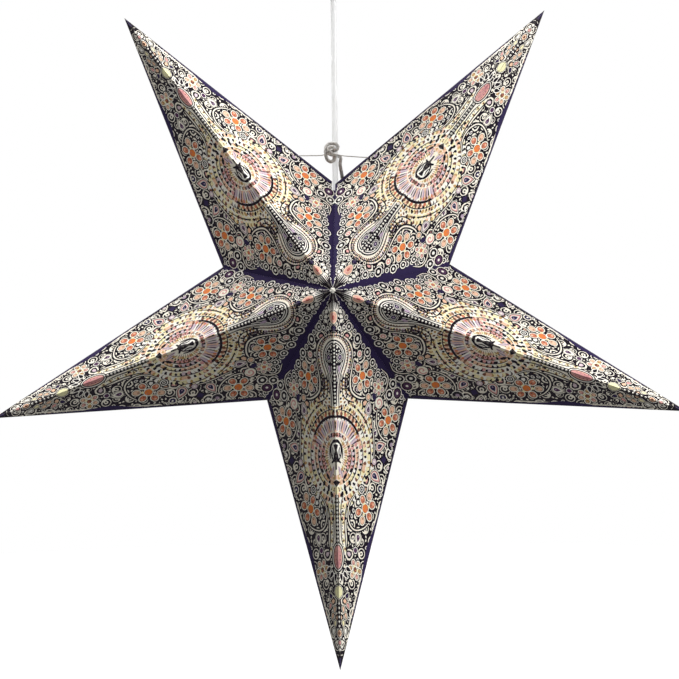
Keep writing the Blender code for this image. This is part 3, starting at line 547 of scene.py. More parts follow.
# The drawing's places are millimetres along the ridge from the front point, and across from the ridge.
NOTCH_ALONG, NOTCH_ACROSS, PANEL_LENGTH = 115.66, 97.67, 334.13
VALLEY_SLOPE = 0.8445       # across over along, on the edge from the front point to the notch
SIDE_SLOPE = 0.4471         # the same on the edge from the notch to the tip
POINT_SHRINK = 0.2816       # how much larger the drawing is at the side than at the front point, as a share
BLACK_SPREAD = 0.25         # how far black ink has spread into what is beside it
STROKE_PIECE = 5            # how many steps of a brush line are one shape
PRINT = []                  # each shape's outline on the sheet and its ink, in the order of printing


def smooth_line(points, spacing=2.0):
    """A smooth line through the points, as flat places in millimetres."""
    return [point.to_2d() for point in smooth_route([(s, t, 0) for s, t in points], spacing)]


def anticlockwise(outline):
    """The outline, turned round if it runs clockwise."""
    area = sum(a.x * b.y - a.y * b.x for a, b in zip(outline, outline[1:] + outline[:1]))
    return outline if area > 0 else outline[::-1]


def drawn_in(point):
    """Where a place of the drawing lies on the sheet: the drawing gets smaller towards the front point."""
    point = Vector(point)
    past_notch = abs(point.y) / NOTCH_ACROSS
    left = 1 - past_notch - (point.x - past_notch * NOTCH_ALONG) / PANEL_LENGTH
    return point / (1 + POINT_SHRINK * left)


def swung(s, t, reach, turn):
    """The place that far from a place, in the turn's direction."""
    return s + reach * math.cos(turn), t + reach * math.sin(turn)


def ringed(s, t, reach, count, start=0.0):
    """Places spaced evenly round a place. start is how far on the first one is, as a share of a space."""
    return [swung(s, t, reach, math.tau * (k + start) / count) for k in range(count)]


def blot(ink, outline):
    """Adds one shape to the print."""
    PRINT.append((anticlockwise([drawn_in(point) for point in outline]), ink))


def oval(ink, s, t, along, across, turn=0.0, corners=0):
    """An oval spot, turned. Pale ones lose a little to the black beside them."""
    if ink in ("cream", "bone"):
        along, across = along - BLACK_SPREAD, across - BLACK_SPREAD
    corners = corners or max(7, int(4 + 1.1 * max(along, across)))
    swing = Matrix.Rotation(turn, 2)
    blot(ink, [Vector((s, t)) + swing @ Vector((along * math.cos(a), across * math.sin(a)))
               for a in (math.tau * (k + 0.5) / corners for k in range(corners))])


def disc(ink, s, t, radius, corners=0):
    """A round spot."""
    oval(ink, s, t, radius, radius, 0.0, corners)


def target(s, t, *rings):
    """Discs in discs, from the outside in: (radius, ink) pairs."""
    for radius, ink in rings:
        disc(ink, s, t, radius)


def nest(s, corners, *layers):
    """Ovals in ovals on the ridge, from the outside in: (ink, along, across) for each."""
    for ink, along, across in layers:
        oval(ink, s, 0, along, across, 0, corners)


def petal(ink, s, t, length, width, turn, bend=0.0, corners=10):
    """A drop with a round head at the place and a point that trails off in the turn's direction."""
    swing = Matrix.Rotation(turn, 2)
    outline = []
    for k in range(corners):
        a = math.tau * (k + 0.5) / corners
        x = 0.5 - 0.5 * math.cos(a)
        y = math.sin(a) * math.sin(a / 2) * 0.77
        outline.append(Vector((s, t)) + swing @ Vector((
            length * (1 - x) - width / 2, width * y + bend * (1 - x) ** 2)))
    blot(ink, outline)


def leaf(s, t, turn, *layers):
    """Drops in drops, from the outside in: (ink, length, width) for each."""
    for ink, length, width in layers:
        petal(ink, s, t, length, width, turn)


def directions(line):
    """The direction of a line at each of its places."""
    befores, afters = line[:1] + line[:-1], line[1:] + line[-1:]
    return [(after - before).normalized() for before, after in zip(befores, afters)]


def stroke(ink, points, width, spacing=2.5, ends=1.0):
    """A brush line of that width. Where ends is under 1 it narrows towards its ends."""
    line = smooth_line(points, spacing)
    width += 2 * BLACK_SPREAD * (ink == "black")
    left, right = [], []
    for k, (place, along) in enumerate(zip(line, directions(line))):
        share = 1 - abs(2 * k / (len(line) - 1) - 1) ** 2
        half = width / 2 * (ends + (1 - ends) * share)
        out = Vector((-along.y, along.x)) * half
        left.append(place + out)
        right.append(place - out)
    for k in range(0, len(line) - 1, STROKE_PIECE):
        last = k + STROKE_PIECE + 1
        blot(ink, left[k:last] + right[k:last][::-1])


def beads(ink, points, radius, spacing, heart=None):
    """A row of dots along a line, each with a heart in it if one is named."""
    for place in smooth_line(points, spacing):
        disc(ink, place.x, place.y, radius, 7)
        if heart:
            disc(heart, place.x, place.y, radius * 0.45, 6)


def ticks(points, length, spacing, inks, width):
    """Small wedges laid across a line, in turn in each of the inks."""
    line = smooth_line(points, spacing)
    for k, (place, along) in enumerate(zip(line, directions(line))):
        turn = math.atan2(along.y, along.x) + math.pi / 2
        petal(inks[k % len(inks)], place.x, place.y, length, width, turn, corners=6)


def flower(s, t, places, size=1.0, middle="orange", inks=("salmon", "peach", "salmon")):
    """A round heart with petals round it, each petal edged with black and cream."""
    turned = [(a, b, math.atan2(b - t, a - s)) for a, b in places]
    for ink, grow in (("black", 2.3), ("cream", 1.6), ("brown", 0.4)):
        for a, b, turn in turned:
            oval(ink, a, b, 3.1 * size + grow, 2.6 * size + grow, turn, 11)
        disc(ink, s, t, 3.4 * size + grow, 11)
    for k, (a, b, turn) in enumerate(turned):
        out = Vector((math.cos(turn), math.sin(turn)))
        oval(inks[k % len(inks)], a, b, 3.1 * size, 2.6 * size, turn, 9)
        oval("peach", a + 1.4 * size * out.x, b + 1.4 * size * out.y, 1.0 * size, 1.2 * size, turn, 6)
        oval("brown", a - 1.6 * size * out.x, b - 1.6 * size * out.y, 0.9 * size, 0.8 * size, turn, 5)
        half = Vector((s, t)).lerp(Vector((a, b)), 0.5)
        oval("butter" if k % 2 else "bone", half.x, half.y, 1.2, 1.5, turn, 6)
    disc(middle, s, t, 3.4 * size, 11)
    disc("salmon", s + 1.2 * size, t + 1.0 * size, 1.2 * size, 6)


def swirl(ink, s, t, radius, turns, width):
    """A line that winds in to the middle."""
    count = int(8 * turns)
    stroke(ink, [swung(s, t, radius * (1 - k / count), math.tau * turns * k / count) for k in range(count)],
           width, 1.2, 0.6)


def curl(s, t, radius, turn):
    """A cream spot with a dark C-shaped curl and a seed in it."""
    disc("cream", s, t, radius * 0.95, max(8, int(radius * 2.6)))
    arc = [swung(s, t, radius * 0.56, turn + (0.7 + 0.7 * k)) for k in range(8)]
    stroke("black", arc, max(1.0, radius * 0.31), 1.5, 0.6)
    oval("black", *swung(s, t, radius * 0.12, turn), radius * 0.25, radius * 0.17, turn, 5)


def eye_drop(s, t, turn, size, heart="purple", ring="rose"):
    """A paisley drop: rings round a dark heart, with a bent tip."""
    for share, ink in ((1.42, "black"), (1.26, "cream"), (1.08, "black"), (0.96, ring), (0.72, "bone"),
                       (0.56, heart)):
        petal(ink, s, t, size * 2.5 * share, size * 1.5 * share, turn, size * 0.5 * share, 14)
    oval("lavender", s, t, size * 0.22, size * 0.12, turn, 5)


# how deep the purple band is at places along the valley
BAND_DEPTHS = ((0, 0.2), (8, 1.4), (16, 2.6), (24, 4.0), (34, 3.0), (42, 5.0), (52, 4.4), (62, 6.4),
               (72, 5.6), (84, 7.4), (96, 6.8), (106, 8.2), (114, 5.6), (124, 2.6), (138, 2.4), (151, 3.2))
# the edges of the bell, of its band and of the medallion
BELL_EDGE = ((49, -6), (49, 0), (51.4, 6.6), (56.5, 12.6), (63, 16.4), (70, 16.4), (76, 14), (82, 10.6),
             (90, 6.8), (99, 4.8), (110, 3.8))
BELL_BAND = ((43.4, -6), (43.2, 0), (44.6, 7), (47.4, 13.6), (52.4, 21), (59.6, 26), (67.6, 27), (76, 24.6),
             (84, 20.8), (92, 17.6), (100, 16.4))
MEDALLION_EDGE = ((242, 11), (231, 12.5), (220, 12), (209, 13.4), (200, 17.5), (193, 24.5), (187, 32),
                  (180, 39.5), (170, 45.8), (158, 49.4), (146, 49.6), (135, 47), (126, 43), (118, 37),
                  (111, 29.5), (105.5, 23), (99, 18.6))
MIDDLE = 158        # how far along the ridge the medallion's middle is
# where the ground stays bare: round the medallion's middle, and beside the ridge from one place to another
BARE_RADIUS = 42
BARE_START, BARE_END, BARE_DEPTH = 46, 240, 12
# how large the ground's shapes are, and how often each size tries to find room
GROUND_SIZES = ((4.6, 500), (3.6, 1200), (2.7, 2800), (1.9, 4200), (1.25, 7000), (0.85, 6000))
PATCH_RINGS = (18.5, 23.6, 28.8, 34.0, 39.2, 44.4, 49.4, 54.4)
WARM_PATCHES = ("butter", "butter", "peach", "bone")
COOL_PATCHES = ("lilac", "rose", "peach", "bone")
DARK_WEDGES = ("black", "brown", "brown", "black", "black", "ochre")


def along_valley(distance, depth):
    """A place that far along the valley from the star's middle, and that deep into the panel."""
    valley = math.hypot(NOTCH_ALONG, NOTCH_ACROSS)
    return ((NOTCH_ALONG * distance + NOTCH_ACROSS * depth) / valley,
            (NOTCH_ACROSS * distance - NOTCH_ALONG * depth) / valley)


def below_side(s, depth):
    """A place that deep into the panel from its side."""
    return s, SIDE_SLOPE * (PANEL_LENGTH - s) - depth


def ground_shape(chance, size, s, t, reach, turn):
    """One of the ground's shapes: a curl or a leaf if it is large, and otherwise a ring or a seed."""
    kind = chance.random()
    if size > 3 and kind < 0.55:
        curl(s, t, reach, turn)
    elif size > 3:
        petal("cream", s, t, reach * 2.4, reach * 1.8, turn, reach * 0.4, 11)
        petal("black", s, t, reach * 1.75, reach * 1.3, turn, reach * 0.3, 8)
        heart = chance.choice(("bone", "peach", "rose", "lilac"))
        petal(heart, s, t, reach * 1.1, reach * 0.7, turn, reach * 0.2, 6)
    elif size > 2.5:
        disc("cream", s, t, reach * 0.96, 8)
        stroke("black", [swung(s, t, reach * 0.5, turn + a) for a in range(5)], 1.25, 1.3, 0.6)
    elif size > 1.8:
        oval("bone", s, t, reach * 1.1, reach * 0.84, turn, 7)
        oval("black", s, t, 1.25, 0.8, turn, 5)
    else:
        oval("cream", s, t, reach * 1.15, reach * 0.8, turn, 5)


def fill_ground():
    """Cream curls, leaves and seeds on black, packed over the whole panel."""
    chance = random.Random(11)
    blot("black", [(-5, -5), (345, -5), (345, 5), (NOTCH_ALONG, NOTCH_ACROSS + 8), (-5, 5)])
    placed = []
    for radius, tries in GROUND_SIZES:
        for _ in range(tries):
            s = chance.uniform(0, PANEL_LENGTH)
            t = chance.uniform(0, NOTCH_ACROSS)
            turn = chance.uniform(0, math.tau)
            if t > VALLEY_SLOPE * s + 1 or t > SIDE_SLOPE * (PANEL_LENGTH - s) + 1:
                continue
            if (s - MIDDLE) ** 2 + t ** 2 < BARE_RADIUS ** 2:
                continue
            if t < BARE_DEPTH and BARE_START < s < BARE_END:
                continue
            reach = radius * (1.35 - 0.35 * s / PANEL_LENGTH)
            if any((s - a) ** 2 + (t - b) ** 2 < (reach + r - 0.05) ** 2 for a, b, r in placed):
                continue
            placed.append((s, t, reach))
            ground_shape(chance, radius, s, t, reach, turn)


def print_valley_lace():
    """The dark purple band along the valley, with a scalloped cream edge."""
    edge = [along_valley(distance, depth) for distance, depth in BAND_DEPTHS]
    inner = [along_valley(distance, depth + 2.0) for distance, depth in BAND_DEPTHS[2:]]
    beads("black", inner, 4.0, 6.4)
    blot("purple", [along_valley(154, -4)] + smooth_line(edge, 4)[::-1] + [along_valley(-2, -4)])
    for ink, radius in (("bone", 3.1), ("black", 1.9), ("bone", 0.7)):
        beads(ink, inner, radius, 6.4)
    for distance, depth, radius in ((82.6, 7.8, 3.6), (63, 8.4, 4.4), (45.2, 8.6, 3.4), (128.5, 4.6, 3.6),
                                    (108.5, 12.6, 2.8), (118, 10.4, 3.0), (132, 14, 4.0), (27, 6.4, 2.4),
                                    (95, 9.6, 3.0)):
        target(*along_valley(distance, depth), (radius + 1.9, "black"), (radius + 1.3, "bone"),
               (radius, "black"), (radius * 0.5, "bone"))
    target(*along_valley(138.5, 6.4), (6.0, "cream"), (5.0, "black"), (3.8, "plum"), (1.6, "bone"))


def print_side_margin():
    """The dark margin along the side, with its longer purple wedge and a row of beads beside it."""
    beads("cream", [below_side(s, 4.6) for s in range(116, 200, 20)], 1.5, 3.6, "black")
    stroke("cream", [below_side(s, 3.1) for s in range(200, 320, 20)], 1.3)
    dark = ((330, -3), (300, 1.6), (262, 1.8), (196, 2.0), (160, 2.4), (146, 3.4), (118, 5.0), (112, -4))
    blot("black", [below_side(*place) for place in dark])
    before_wedge = ((300, -3), (296, 1.4), (264, 1.9), (256, 3.6))
    wedge = [(247, 34.2), (241.5, 35.9), (235, 38.8), (225, 45.4), (214, 51.6)]
    past_wedge = ((195, 1.2), (168, 1.2), (154, 1.8), (138, 3.0), (120, 4.2), (114, -4))
    blot("purple", [below_side(*place) for place in before_wedge] + wedge
         + [below_side(*place) for place in past_wedge])


def print_bell_band():
    """The cream band round the bell, with its rows of wedges and beads."""
    stroke("black", BELL_BAND, 2.0)
    blot("cream", smooth_line(BELL_BAND, 4) + [(112, 18), (112, -6)])
    row = ((46.2, -4), (46, 2), (49.6, 11.6), (56, 19.4), (63.4, 22.4), (71.4, 22.6), (79, 20), (88, 16),
           (98, 13))
    ticks(row, 5.4, 3.3, ("lilac", "butter", "peach", "bone"), 2.8)
    ticks(row, 3.8, 2.6, ("plum", "brown", "lavender", "black", "ochre", "black"), 1.5)
    for line in (((50.4, 12.4), (54.8, 17), (61, 20), (68, 20.2), (76, 17.8), (84, 13.2), (94, 8.6),
                  (104, 7.2)),
                 ((45, 0), (46.4, 7), (49.2, 12.8), (54, 19.2), (60.6, 23.8), (67.6, 25.2), (75.4, 23.4),
                  (83, 20.2), (91, 18.2), (100, 16.4)),
                 ((84, 10.8), (93, 7), (104, 5.4), (116, 5.6))):
        stroke("black", line, 0.9, ends=0.7)
    beads("brown", [(46.9, -2), (46.9, 2), (49.6, 9.4), (54.8, 15.6), (61.6, 18.3), (69, 18.8), (76.4, 17),
                    (84, 13.2)], 0.9, 2.7)
    beads("black", [(86, 17.6), (96, 15.6), (104, 17.4)], 1.1, 3.2)
    for line in (((90, 9.6), (98, 8), (106, 7.6), (116, 8.4)), ((88, 13.2), (97, 11), (106, 11.4), (116, 16)),
                 ((96, 15), (104, 15.4), (112, 21), (118, 30)), ((100, 19), (106, 22.6), (111, 29))):
        ticks(line, 3.6, 3.1, ("black", "ochre", "brown", "black", "butter"), 2.1)
    for line in (((86, 12.6), (96, 10.4), (104, 12), (109, 18), (112, 27)),
                 ((84, 16.2), (94, 14.4), (101, 16), (106, 21.6))):
        stroke("black", line, 0.8)


def print_bell():
    """The dark bell by the front point, its eye, and the stem of beads that rises from it."""
    blot("black", smooth_line(BELL_EDGE, 4) + [(112, 3.8), (112, -6)])
    for width, line in (
            (1.1, ((51.4, -3), (51.4, 1), (53.4, 6), (57.8, 11), (63.6, 14.2), (69.6, 14.4), (75, 12),
                   (81, 8.8), (90, 5.4), (100, 3.8), (112, 3.0))),
            (0.9, ((54.2, 2.6), (56.2, 6.2), (60.4, 10.6), (64.6, 12.6))),
            (0.9, ((72.6, 11.4), (78, 7.8), (84, 4.6), (90, 3.4))),
            (0.8, ((75, 4.2), (80, 3.4), (84, 2.9)))):
        stroke("bone", line, width)
    target(67.6, 8.2, (5.0, "bone"), (4.3, "black"), (3.6, "bone"), (2.8, "purple"), (1.1, "lavender"))
    for s, t, radius in ((57.4, 4.6, 1.5), (61.2, 7.4, 1.3), (60.8, 3.6, 1.1), (64, 3.4, 1.0),
                         (71.6, 3.6, 1.0)):
        disc("bone", s, t, radius, 7)
    petal("lavender", 76.6, 7.0, 7.4, 3.0, 0.0)
    for k in range(18):
        oval("bone", 52 + 3.5 * k, 0, 1.2, 1.6, 0, 6)


def print_point():
    """What lies nearest the front point: narrow stripes, a pink bud and a small purple diamond."""
    blot("bone", [(-2, -4), (-2, 1), (10, 5.4), (21, 9.6), (24, 0), (21, -9.6), (10, -5.4)])
    for t in (0, 2.9, 5.8, 8.7):
        stripe = ((3, 0.2 * t), (7 + 0.4 * t, 0.5 * t), (12 + 0.3 * t, 0.8 * t), (20, t))
        stroke("black", stripe, 1.3, ends=0.5)
    for place in ((33, 10.8, 1.9), (22.5, 9.6, 0.9), (28, 10.4, 1.2)):
        leaf(*place, ("black", 8.4, 5.0), ("bone", 6.4, 3.4))
    nest(27.6, 12, ("black", 7.4, 6.8), ("bone", 6.8, 6.2), ("peach", 6.2, 5.4), ("rose", 4.8, 3.8),
         ("peach", 3.2, 2.6), ("red", 2.4, 1.6))
    for t in (8.6, 15.4):
        target(39.4, t, (3.4, "black"), (2.8, "bone"), (1.3, "black"))
    target(46, 12.4, (3.2, "black"), (2.5, "cream"), (1.2, "black"))
    blot("black", [(33.8, 0), (38.4, 4.8), (43.2, 0), (38.4, -4.8)])
    blot("purple", [(35.4, 0), (38.4, 3.2), (41.6, 0), (38.4, -3.2)])


def round_middle(reach, low, high, steps=14):
    """Places on a circle about the medallion's middle. 0 is towards the tip and 1 towards the front point."""
    return [swung(MIDDLE, 0, reach, math.pi * (low + (high - low) * k / steps)) for k in range(steps + 1)]


def ring_of(inks, reach, low, high, count, length, width):
    """Wedges that point to the medallion's middle, between two places on a circle about it."""
    for k in range(count):
        a = math.pi * (low + (high - low) * (k + 0.5) / count)
        petal(inks[k % len(inks)], *swung(MIDDLE, 0, reach, a), length, width, a + math.pi, corners=7)


def print_medallion():
    """The round medallion over the ridge, filled with rings of patches."""
    chance = random.Random(5)
    stroke("black", MEDALLION_EDGE, 2.2)
    blot("cream", smooth_line(MEDALLION_EDGE, 4) + [(99, -18), (242, -18)])
    stroke("black", [(198, 15), (190, 23.4), (184, 31), (177, 38.6), (167, 43.6)], 0.9, ends=0.5)
    # patches in rings, each with a dark wedge beside it
    for ring, reach in enumerate(PATCH_RINGS):
        count = round(math.pi * reach / 4.3)
        for k in range(count):
            a = math.pi * (k + 0.5 * (ring % 2) + 0.3) / count + chance.uniform(-0.03, 0.03)
            s, t = swung(MIDDLE, 0, reach, a)
            if t < 0 or t > 50 or s + t > 222 or s < 105:
                continue
            warm = s > 170 or reach > 34
            patch = chance.choice(WARM_PATCHES if warm else COOL_PATCHES)
            petal(patch, s, t, 5.2, 3.8, a + chance.uniform(-0.4, 0.4), corners=7)
            size = chance.uniform(1.05, 1.65)
            wedge = chance.choice(DARK_WEDGES)
            a += 2.1 / reach
            petal(wedge, *swung(MIDDLE, 0, reach + 1.4, a), 3.1 * size, 2.1 * size,
                  a + math.pi + chance.uniform(-0.5, 0.5), corners=6)


def print_medallion_rings():
    """The medallion's rings of long wedges, and the lines between them."""
    for reach, low, high, count, length, width, inks in (
            (31.2, 0.62, 1.06, 13, 12.0, 4.8, ("lilac", "bone", "lilac", "peach")),
            (31.6, 0.60, 1.05, 13, 9.5, 1.3, ("plum", "lavender", "black")),
            (14.4, 0.04, 1.04, 16, 4.4, 3.4, ("butter", "peach", "ochre")),
            (17.0, 0.05, 0.50, 8, 2.8, 1.7, ("brown", "black", "plum")),
            (20.4, 0.07, 0.24, 4, 4.6, 3.0, ("peach", "rose")),
            (38.7, 0.66, 1.0, 7, 4.8, 3.4, ("brown", "salmon", "brown")),
            (33.0, 0.60, 0.80, 6, 4.0, 2.6, ("brown", "salmon", "ochre")),
            (44.6, 0.62, 1.0, 14, 3.2, 2.4, ("brown", "ochre", "black"))):
        ring_of(inks, reach, low, high, count, length, width)
    stroke("black", round_middle(35.8, 0.655, 1.05), 2.1, ends=0.8)
    stroke("black", round_middle(50.2, 0.60, 0.88), 0.9, ends=0.5)
    for reach, low, high in ((42.0, 0.60, 0.99), (47.4, 0.36, 0.58), (37.0, 0.30, 0.60), (26.2, 0.16, 0.56),
                             (21.4, 0.20, 0.56)):
        stroke("black", round_middle(reach, low, high), 0.6, ends=0.5)
    stroke("black", round_middle(30.6, 0.14, 0.5, 8), 0.7, ends=0.4)
    beads("black", round_middle(18.4, 0.40, 1.03), 0.7, 2.3)


def print_heart():
    """The dark heart in the medallion's middle, and the fine lines that fan out from it."""
    for k in range(15):
        a = math.pi * (0.10 + 0.05 * k)
        stroke("brown", [swung(MIDDLE - 2, 0, reach, a) for reach in (10.6, 13.5, 16.6)], 0.5, ends=0.6)
    nest(153.2, 18, ("cream", 12.4, 9.6), ("black", 10.6, 8.0), ("bone", 9.0, 6.6))
    stroke("black", [(145.4, -2), (145.4, 3), (149.4, 7.6), (155.6, 8.8), (160.6, 8.2)], 1.5, ends=0.6)
    blot("black", [(160.6, -3), (160.6, 3.6), (157, 3.0), (152.6, 1.1), (148.2, 3.0), (147, 0), (148.2, -3)])
    stroke("black", [(150.4, 5.2), (154.6, 3.9), (158.6, 5.0)], 1.1, ends=0.5)
    blot("cream", [(163.0, 4.6), (162.4, 8), (169, 7.6), (170, 0), (165, 0)])
    stroke("black", [(164.4, 6.4), (162.2, 3), (161.6, 0), (162.2, -3)], 2.0, ends=0.5)
    stroke("black", [(159, 0), (170, 0)], 1.2)


def print_seeds():
    """The seeds and leaves where the medallion runs on up the stem, and two seeds below it."""
    for s, t, along, across, turn in ((176.4, 12, 3.6, 1.7, -0.8), (182.4, 18, 2.8, 1.7, 0.5),
                                      (191.8, 7.2, 3.0, 1.9, -0.5), (187.6, 11.4, 2.4, 1.5, 0.6),
                                      (196, 10.4, 1.9, 1.3, 0.4), (171.6, 20.4, 2.6, 1.5, -0.9)):
        oval("black", s, t, along, across, turn, 7)
    for s, t, turn in ((172.8, 5.0, 0.3), (175.6, 8.0, 0.5)):
        petal("lilac", s, t, 8.4, 3.4, turn + math.pi)
        stroke("plum", [(s - 5, t - 1.6), (s + 1.4, t + 0.4)], 0.6)
    blot("black", [(179, 0), (181.2, 5), (183.6, 1.8), (185.2, 0), (183.6, -1.8), (181.2, -5)])
    oval("butter", 188.4, 0, 3.2, 3.0, 0, 9)
    for s, t in ((110.8, 4.2), (105.4, 8.2)):
        oval("black", s, t, 2.3, 1.8, 0.3, 7)


def print_stem():
    """The laddered stem above the medallion and the bud on it."""
    for place in ((202, 8.4), (209, 8.8), (216, 8.0), (224, 8.6), (231, 8.2), (238, 9.6)):
        target(*place, (2.2, "butter"), (1.1, "brown"))
    stroke("black", [(201, 13.4), (210, 10.8), (220, 9.9), (231, 10.4), (240, 11.6)], 0.8)
    beads("black", [(204, 7.2), (216, 6.7), (236, 7)], 0.6, 2.4)
    stroke("black", [(193, 8.6), (199, 6.0), (206, 5.0), (214, 4.8), (226, 4.8), (234, 6.6)], 0.9, ends=0.6)
    blot("black", [(192, -2), (192, 2.5), (236, 2.5), (236, -2)])
    for k in range(13):
        oval("bone", 193.6 + 3.4 * k, 0, 1.35, 1.5, 0, 6)
    nest(244.6, 18, ("black", 12.6, 8.8), ("bone", 11.6, 7.8), ("black", 10.6, 6.4), ("rose", 9.6, 5.2))
    oval("mauve", 246, 0, 8.0, 1.9, 0, 10)
    oval("rose", 244, 0, 5.0, 0.8, 0, 8)
    stroke("mauve", [(237.4, 2.2), (244.6, 3.4), (251.6, 2.0)], 0.9, ends=0.5)
    stroke("peach", [(238.6, 3.2), (244.6, 4.5), (250.4, 3.0)], 0.7, ends=0.5)
    for k in range(4):
        oval("plum", 240.2 + 3.4 * k, 2.7, 0.9, 0.4, 0.3, 5)
    for place in ((259.6, 3.4, 0.25), (258, 8.4, 0.8), (254, 11.8, 1.2)):
        leaf(*place, ("bone", 8.6, 4.6), ("black", 6.8, 3.0))
    target(273, 0, (7.0, "black"), (6.2, "cream"), (5.4, "black"), (4.9, "pale"))


def print_tip():
    """What lies towards the arm's tip: small leaves, dots and a dark end."""
    for s, t, turn, ink in ((283, 11.4, 0.5, "rose"), (276.6, 10.4, 2.4, "purple"), (291, 8.4, 0.3, "peach"),
                            (286, 5.6, 0.1, "peach"), (297, 5.2, 0.1, "butter"), (303, 7.6, 0.2, "bone")):
        leaf(s, t, turn, ("black", 8.6, 5.4), ("cream", 7.2, 4.4), ("black", 5.9, 3.3), (ink, 4.7, 2.3))
    blot("black", [(280, -2), (280, 2.6), (302, 2.2), (302, -2)])
    for k in range(6):
        oval("bone", 282.4 + 3.6 * k, 0, 1.2, 1.3, 0, 6)
    target(306, 0, (4.2, "bone"), (3.4, "black"), (2.6, "peach"), (1.3, "brown"))
    target(313.4, 0, (3.0, "cream"), (2.2, "black"), (1.5, "rose"))
    for s, t in ((310, 5), (317, 2.6), (319, 0)):
        disc("bone", s, t, 1.3, 6)
    blot("black", [(322, -3), (322, 6), (336, 3), (336, -3)])
    blot("purple", [(325, -2), (325, 1.6), (333, 0.4), (333, -2)])


def print_scrolls():
    """The eye drops, and the scrolls that run between the flowers."""
    for s, t, turn, size, heart, ring in (
            (177.5, 50.6, 0.6, 5.0, "purple", "rose"), (153.7, 58.4, 1.5, 4.4, "purple", "rose"),
            (228, 27.5, -0.5, 4.2, "plum", "cream"), (121, 46, 2.6, 4.0, "plum", "lilac"),
            (142, 54, 2.2, 3.0, "plum", "bone")):
        eye_drop(s, t, turn, size, heart, ring)
    for width, line in (
            (3.6, ((192, 25), (200, 17), (210, 14.6), (219, 18), (222.6, 25), (221, 35), (216, 43))),
            (4.6, ((72, 28.4), (80, 25.4), (92, 22.4), (101, 23.6), (107, 31), (109.4, 40), (107, 47))),
            (3.0, ((112, 54), (110, 64), (102, 72), (93, 73), (86, 65))),
            (3.2, ((118, 62), (123, 57.6), (133, 56.4), (143, 60), (149, 67), (149, 75))),
            (2.6, ((128, 50.6), (142, 51.8), (156, 52), (168, 50)))):
        stroke("black", line, width, ends=0.5)
        stroke("cream", line, width * 0.36, ends=0.4)


def print_flowers():
    """The five flowers, and the eyes and buds between them."""
    target(188.7, 33.9, (5.0, "black"), (4.2, "bone"), (3.0, "black"), (2.0, "bone"), (1.0, "black"))
    flower(254.7, 22.3, ringed(254.7, 22.3, 6.0, 6, 0.3), 0.6, "brown", ("rose", "ochre", "peach"))
    for s, t, size, places in (
            (204.7, 37.9, 1.0,
             ((207.5, 28.8), (214.6, 33.6), (211.5, 42.7), (202.0, 47.0), (194.7, 44.0), (197.2, 34.9))),
            (131.9, 71.5, 1.0,
             ((133.9, 62.8), (140.9, 67.9), (138.7, 76.7), (130.3, 80.7), (123.5, 76.9), (124.5, 67.3))),
            (88.9, 39.6, 1.05,
             ((91.5, 29.8), (98.4, 35.9), (96.8, 45.7), (88.0, 50.0), (79.4, 44.6), (80.9, 33.6)))):
        flower(s, t, places, size)
    flower(101.9, 60.7, ringed(101.9, 60.7, 5.4, 6), 0.5, "salmon", ("rose", "lilac"))
    target(109, 46.7, (4.6, "black"), (3.8, "cream"), (2.8, "brown"), (2.2, "peach"))
    target(68.2, 36.5, (4.8, "black"), (3.9, "cream"), (2.7, "rose"), (1.2, "bone"))
    target(115.6, 60.6, (6.4, "black"), (5.6, "cream"))
    swirl("rose", 115.6, 60.6, 4.2, 1.4, 1.5)
    oval("purple", 109.6, 54.6, 3.6, 2.8, 0.4, 9)
    blot("black", [(159.5, 64), (165, 69), (170.5, 64), (165, 59)])
    blot("purple", [(161.5, 64), (165, 67.2), (168.5, 64), (165, 60.8)])
    target(153.1, 74.3, (5.8, "bone"), (4.8, "black"), (2.0, "lavender"))
    target(239, 23.5, (4.2, "black"), (3.4, "bone"), (2.4, "plum"))
    target(166, 51.6, (3.6, "black"), (2.9, "lilac"), (1.3, "bone"))
    target(189, 58, (5.0, "black"), (4.2, "cream"), (3.0, "purple"), (1.2, "bone"))


def draw_print():
    """The whole panel's print. What comes later covers what is under it."""
    for layer in (fill_ground, print_valley_lace, print_medallion, print_medallion_rings, print_heart,
                  print_seeds, print_bell_band, print_bell, print_point, print_scrolls, print_flowers,
                  print_stem, print_tip, print_side_margin):
        layer()


# The paper star

RIM_CLEARANCE = 0.01        # between the rims of two sheets, in millimetres
RIM_REACH = 1.0             # how far from an edge the plain face moves in with it, in millimetres
MERGE = 0.0005              # how near to each other two printed corners become one, in millimetres
PLAIN_MERGE = 0.00001       # the same on the plain face
STRING_HOLE = 0.00085
HOLE_CORNERS, MOUTH_CORNERS = 14, 40
# how far from the notch each upper arm's string hole is, by the arm and the side of it that faces the notch
HOLE_REACHES = {("upper_left", -1): 0.041, ("upper_right", 1): 0.037}
MOUTH_RADIUS = 0.009
MOUTH_PLACE = Vector((0.0025, 0.005, 0))
CLIPPED_CORNER = (0.003, 0.007)     # how far from the notch the corner is clipped, sideways and up


def star_place(reach, turn):
    """A place in the star's middle plane."""
    return STAR_CENTRE + Vector((reach * math.cos(turn), 0, reach * math.sin(turn)))


def flat_corners():
    """How far along the ridge a panel's notch lies, how far across, and how long the ridge is."""
    apex = STAR_CENTRE - Vector((0, HALF_DEPTH, 0))
    notch, tip = star_place(NOTCH_REACH, 0), star_place(STAR_REACH, HALF_WEDGE)
    along = (tip - apex).normalized()
    reach = (notch - apex).dot(along)
    return reach, math.sqrt((notch - apex).length_squared - reach ** 2), (tip - apex).length


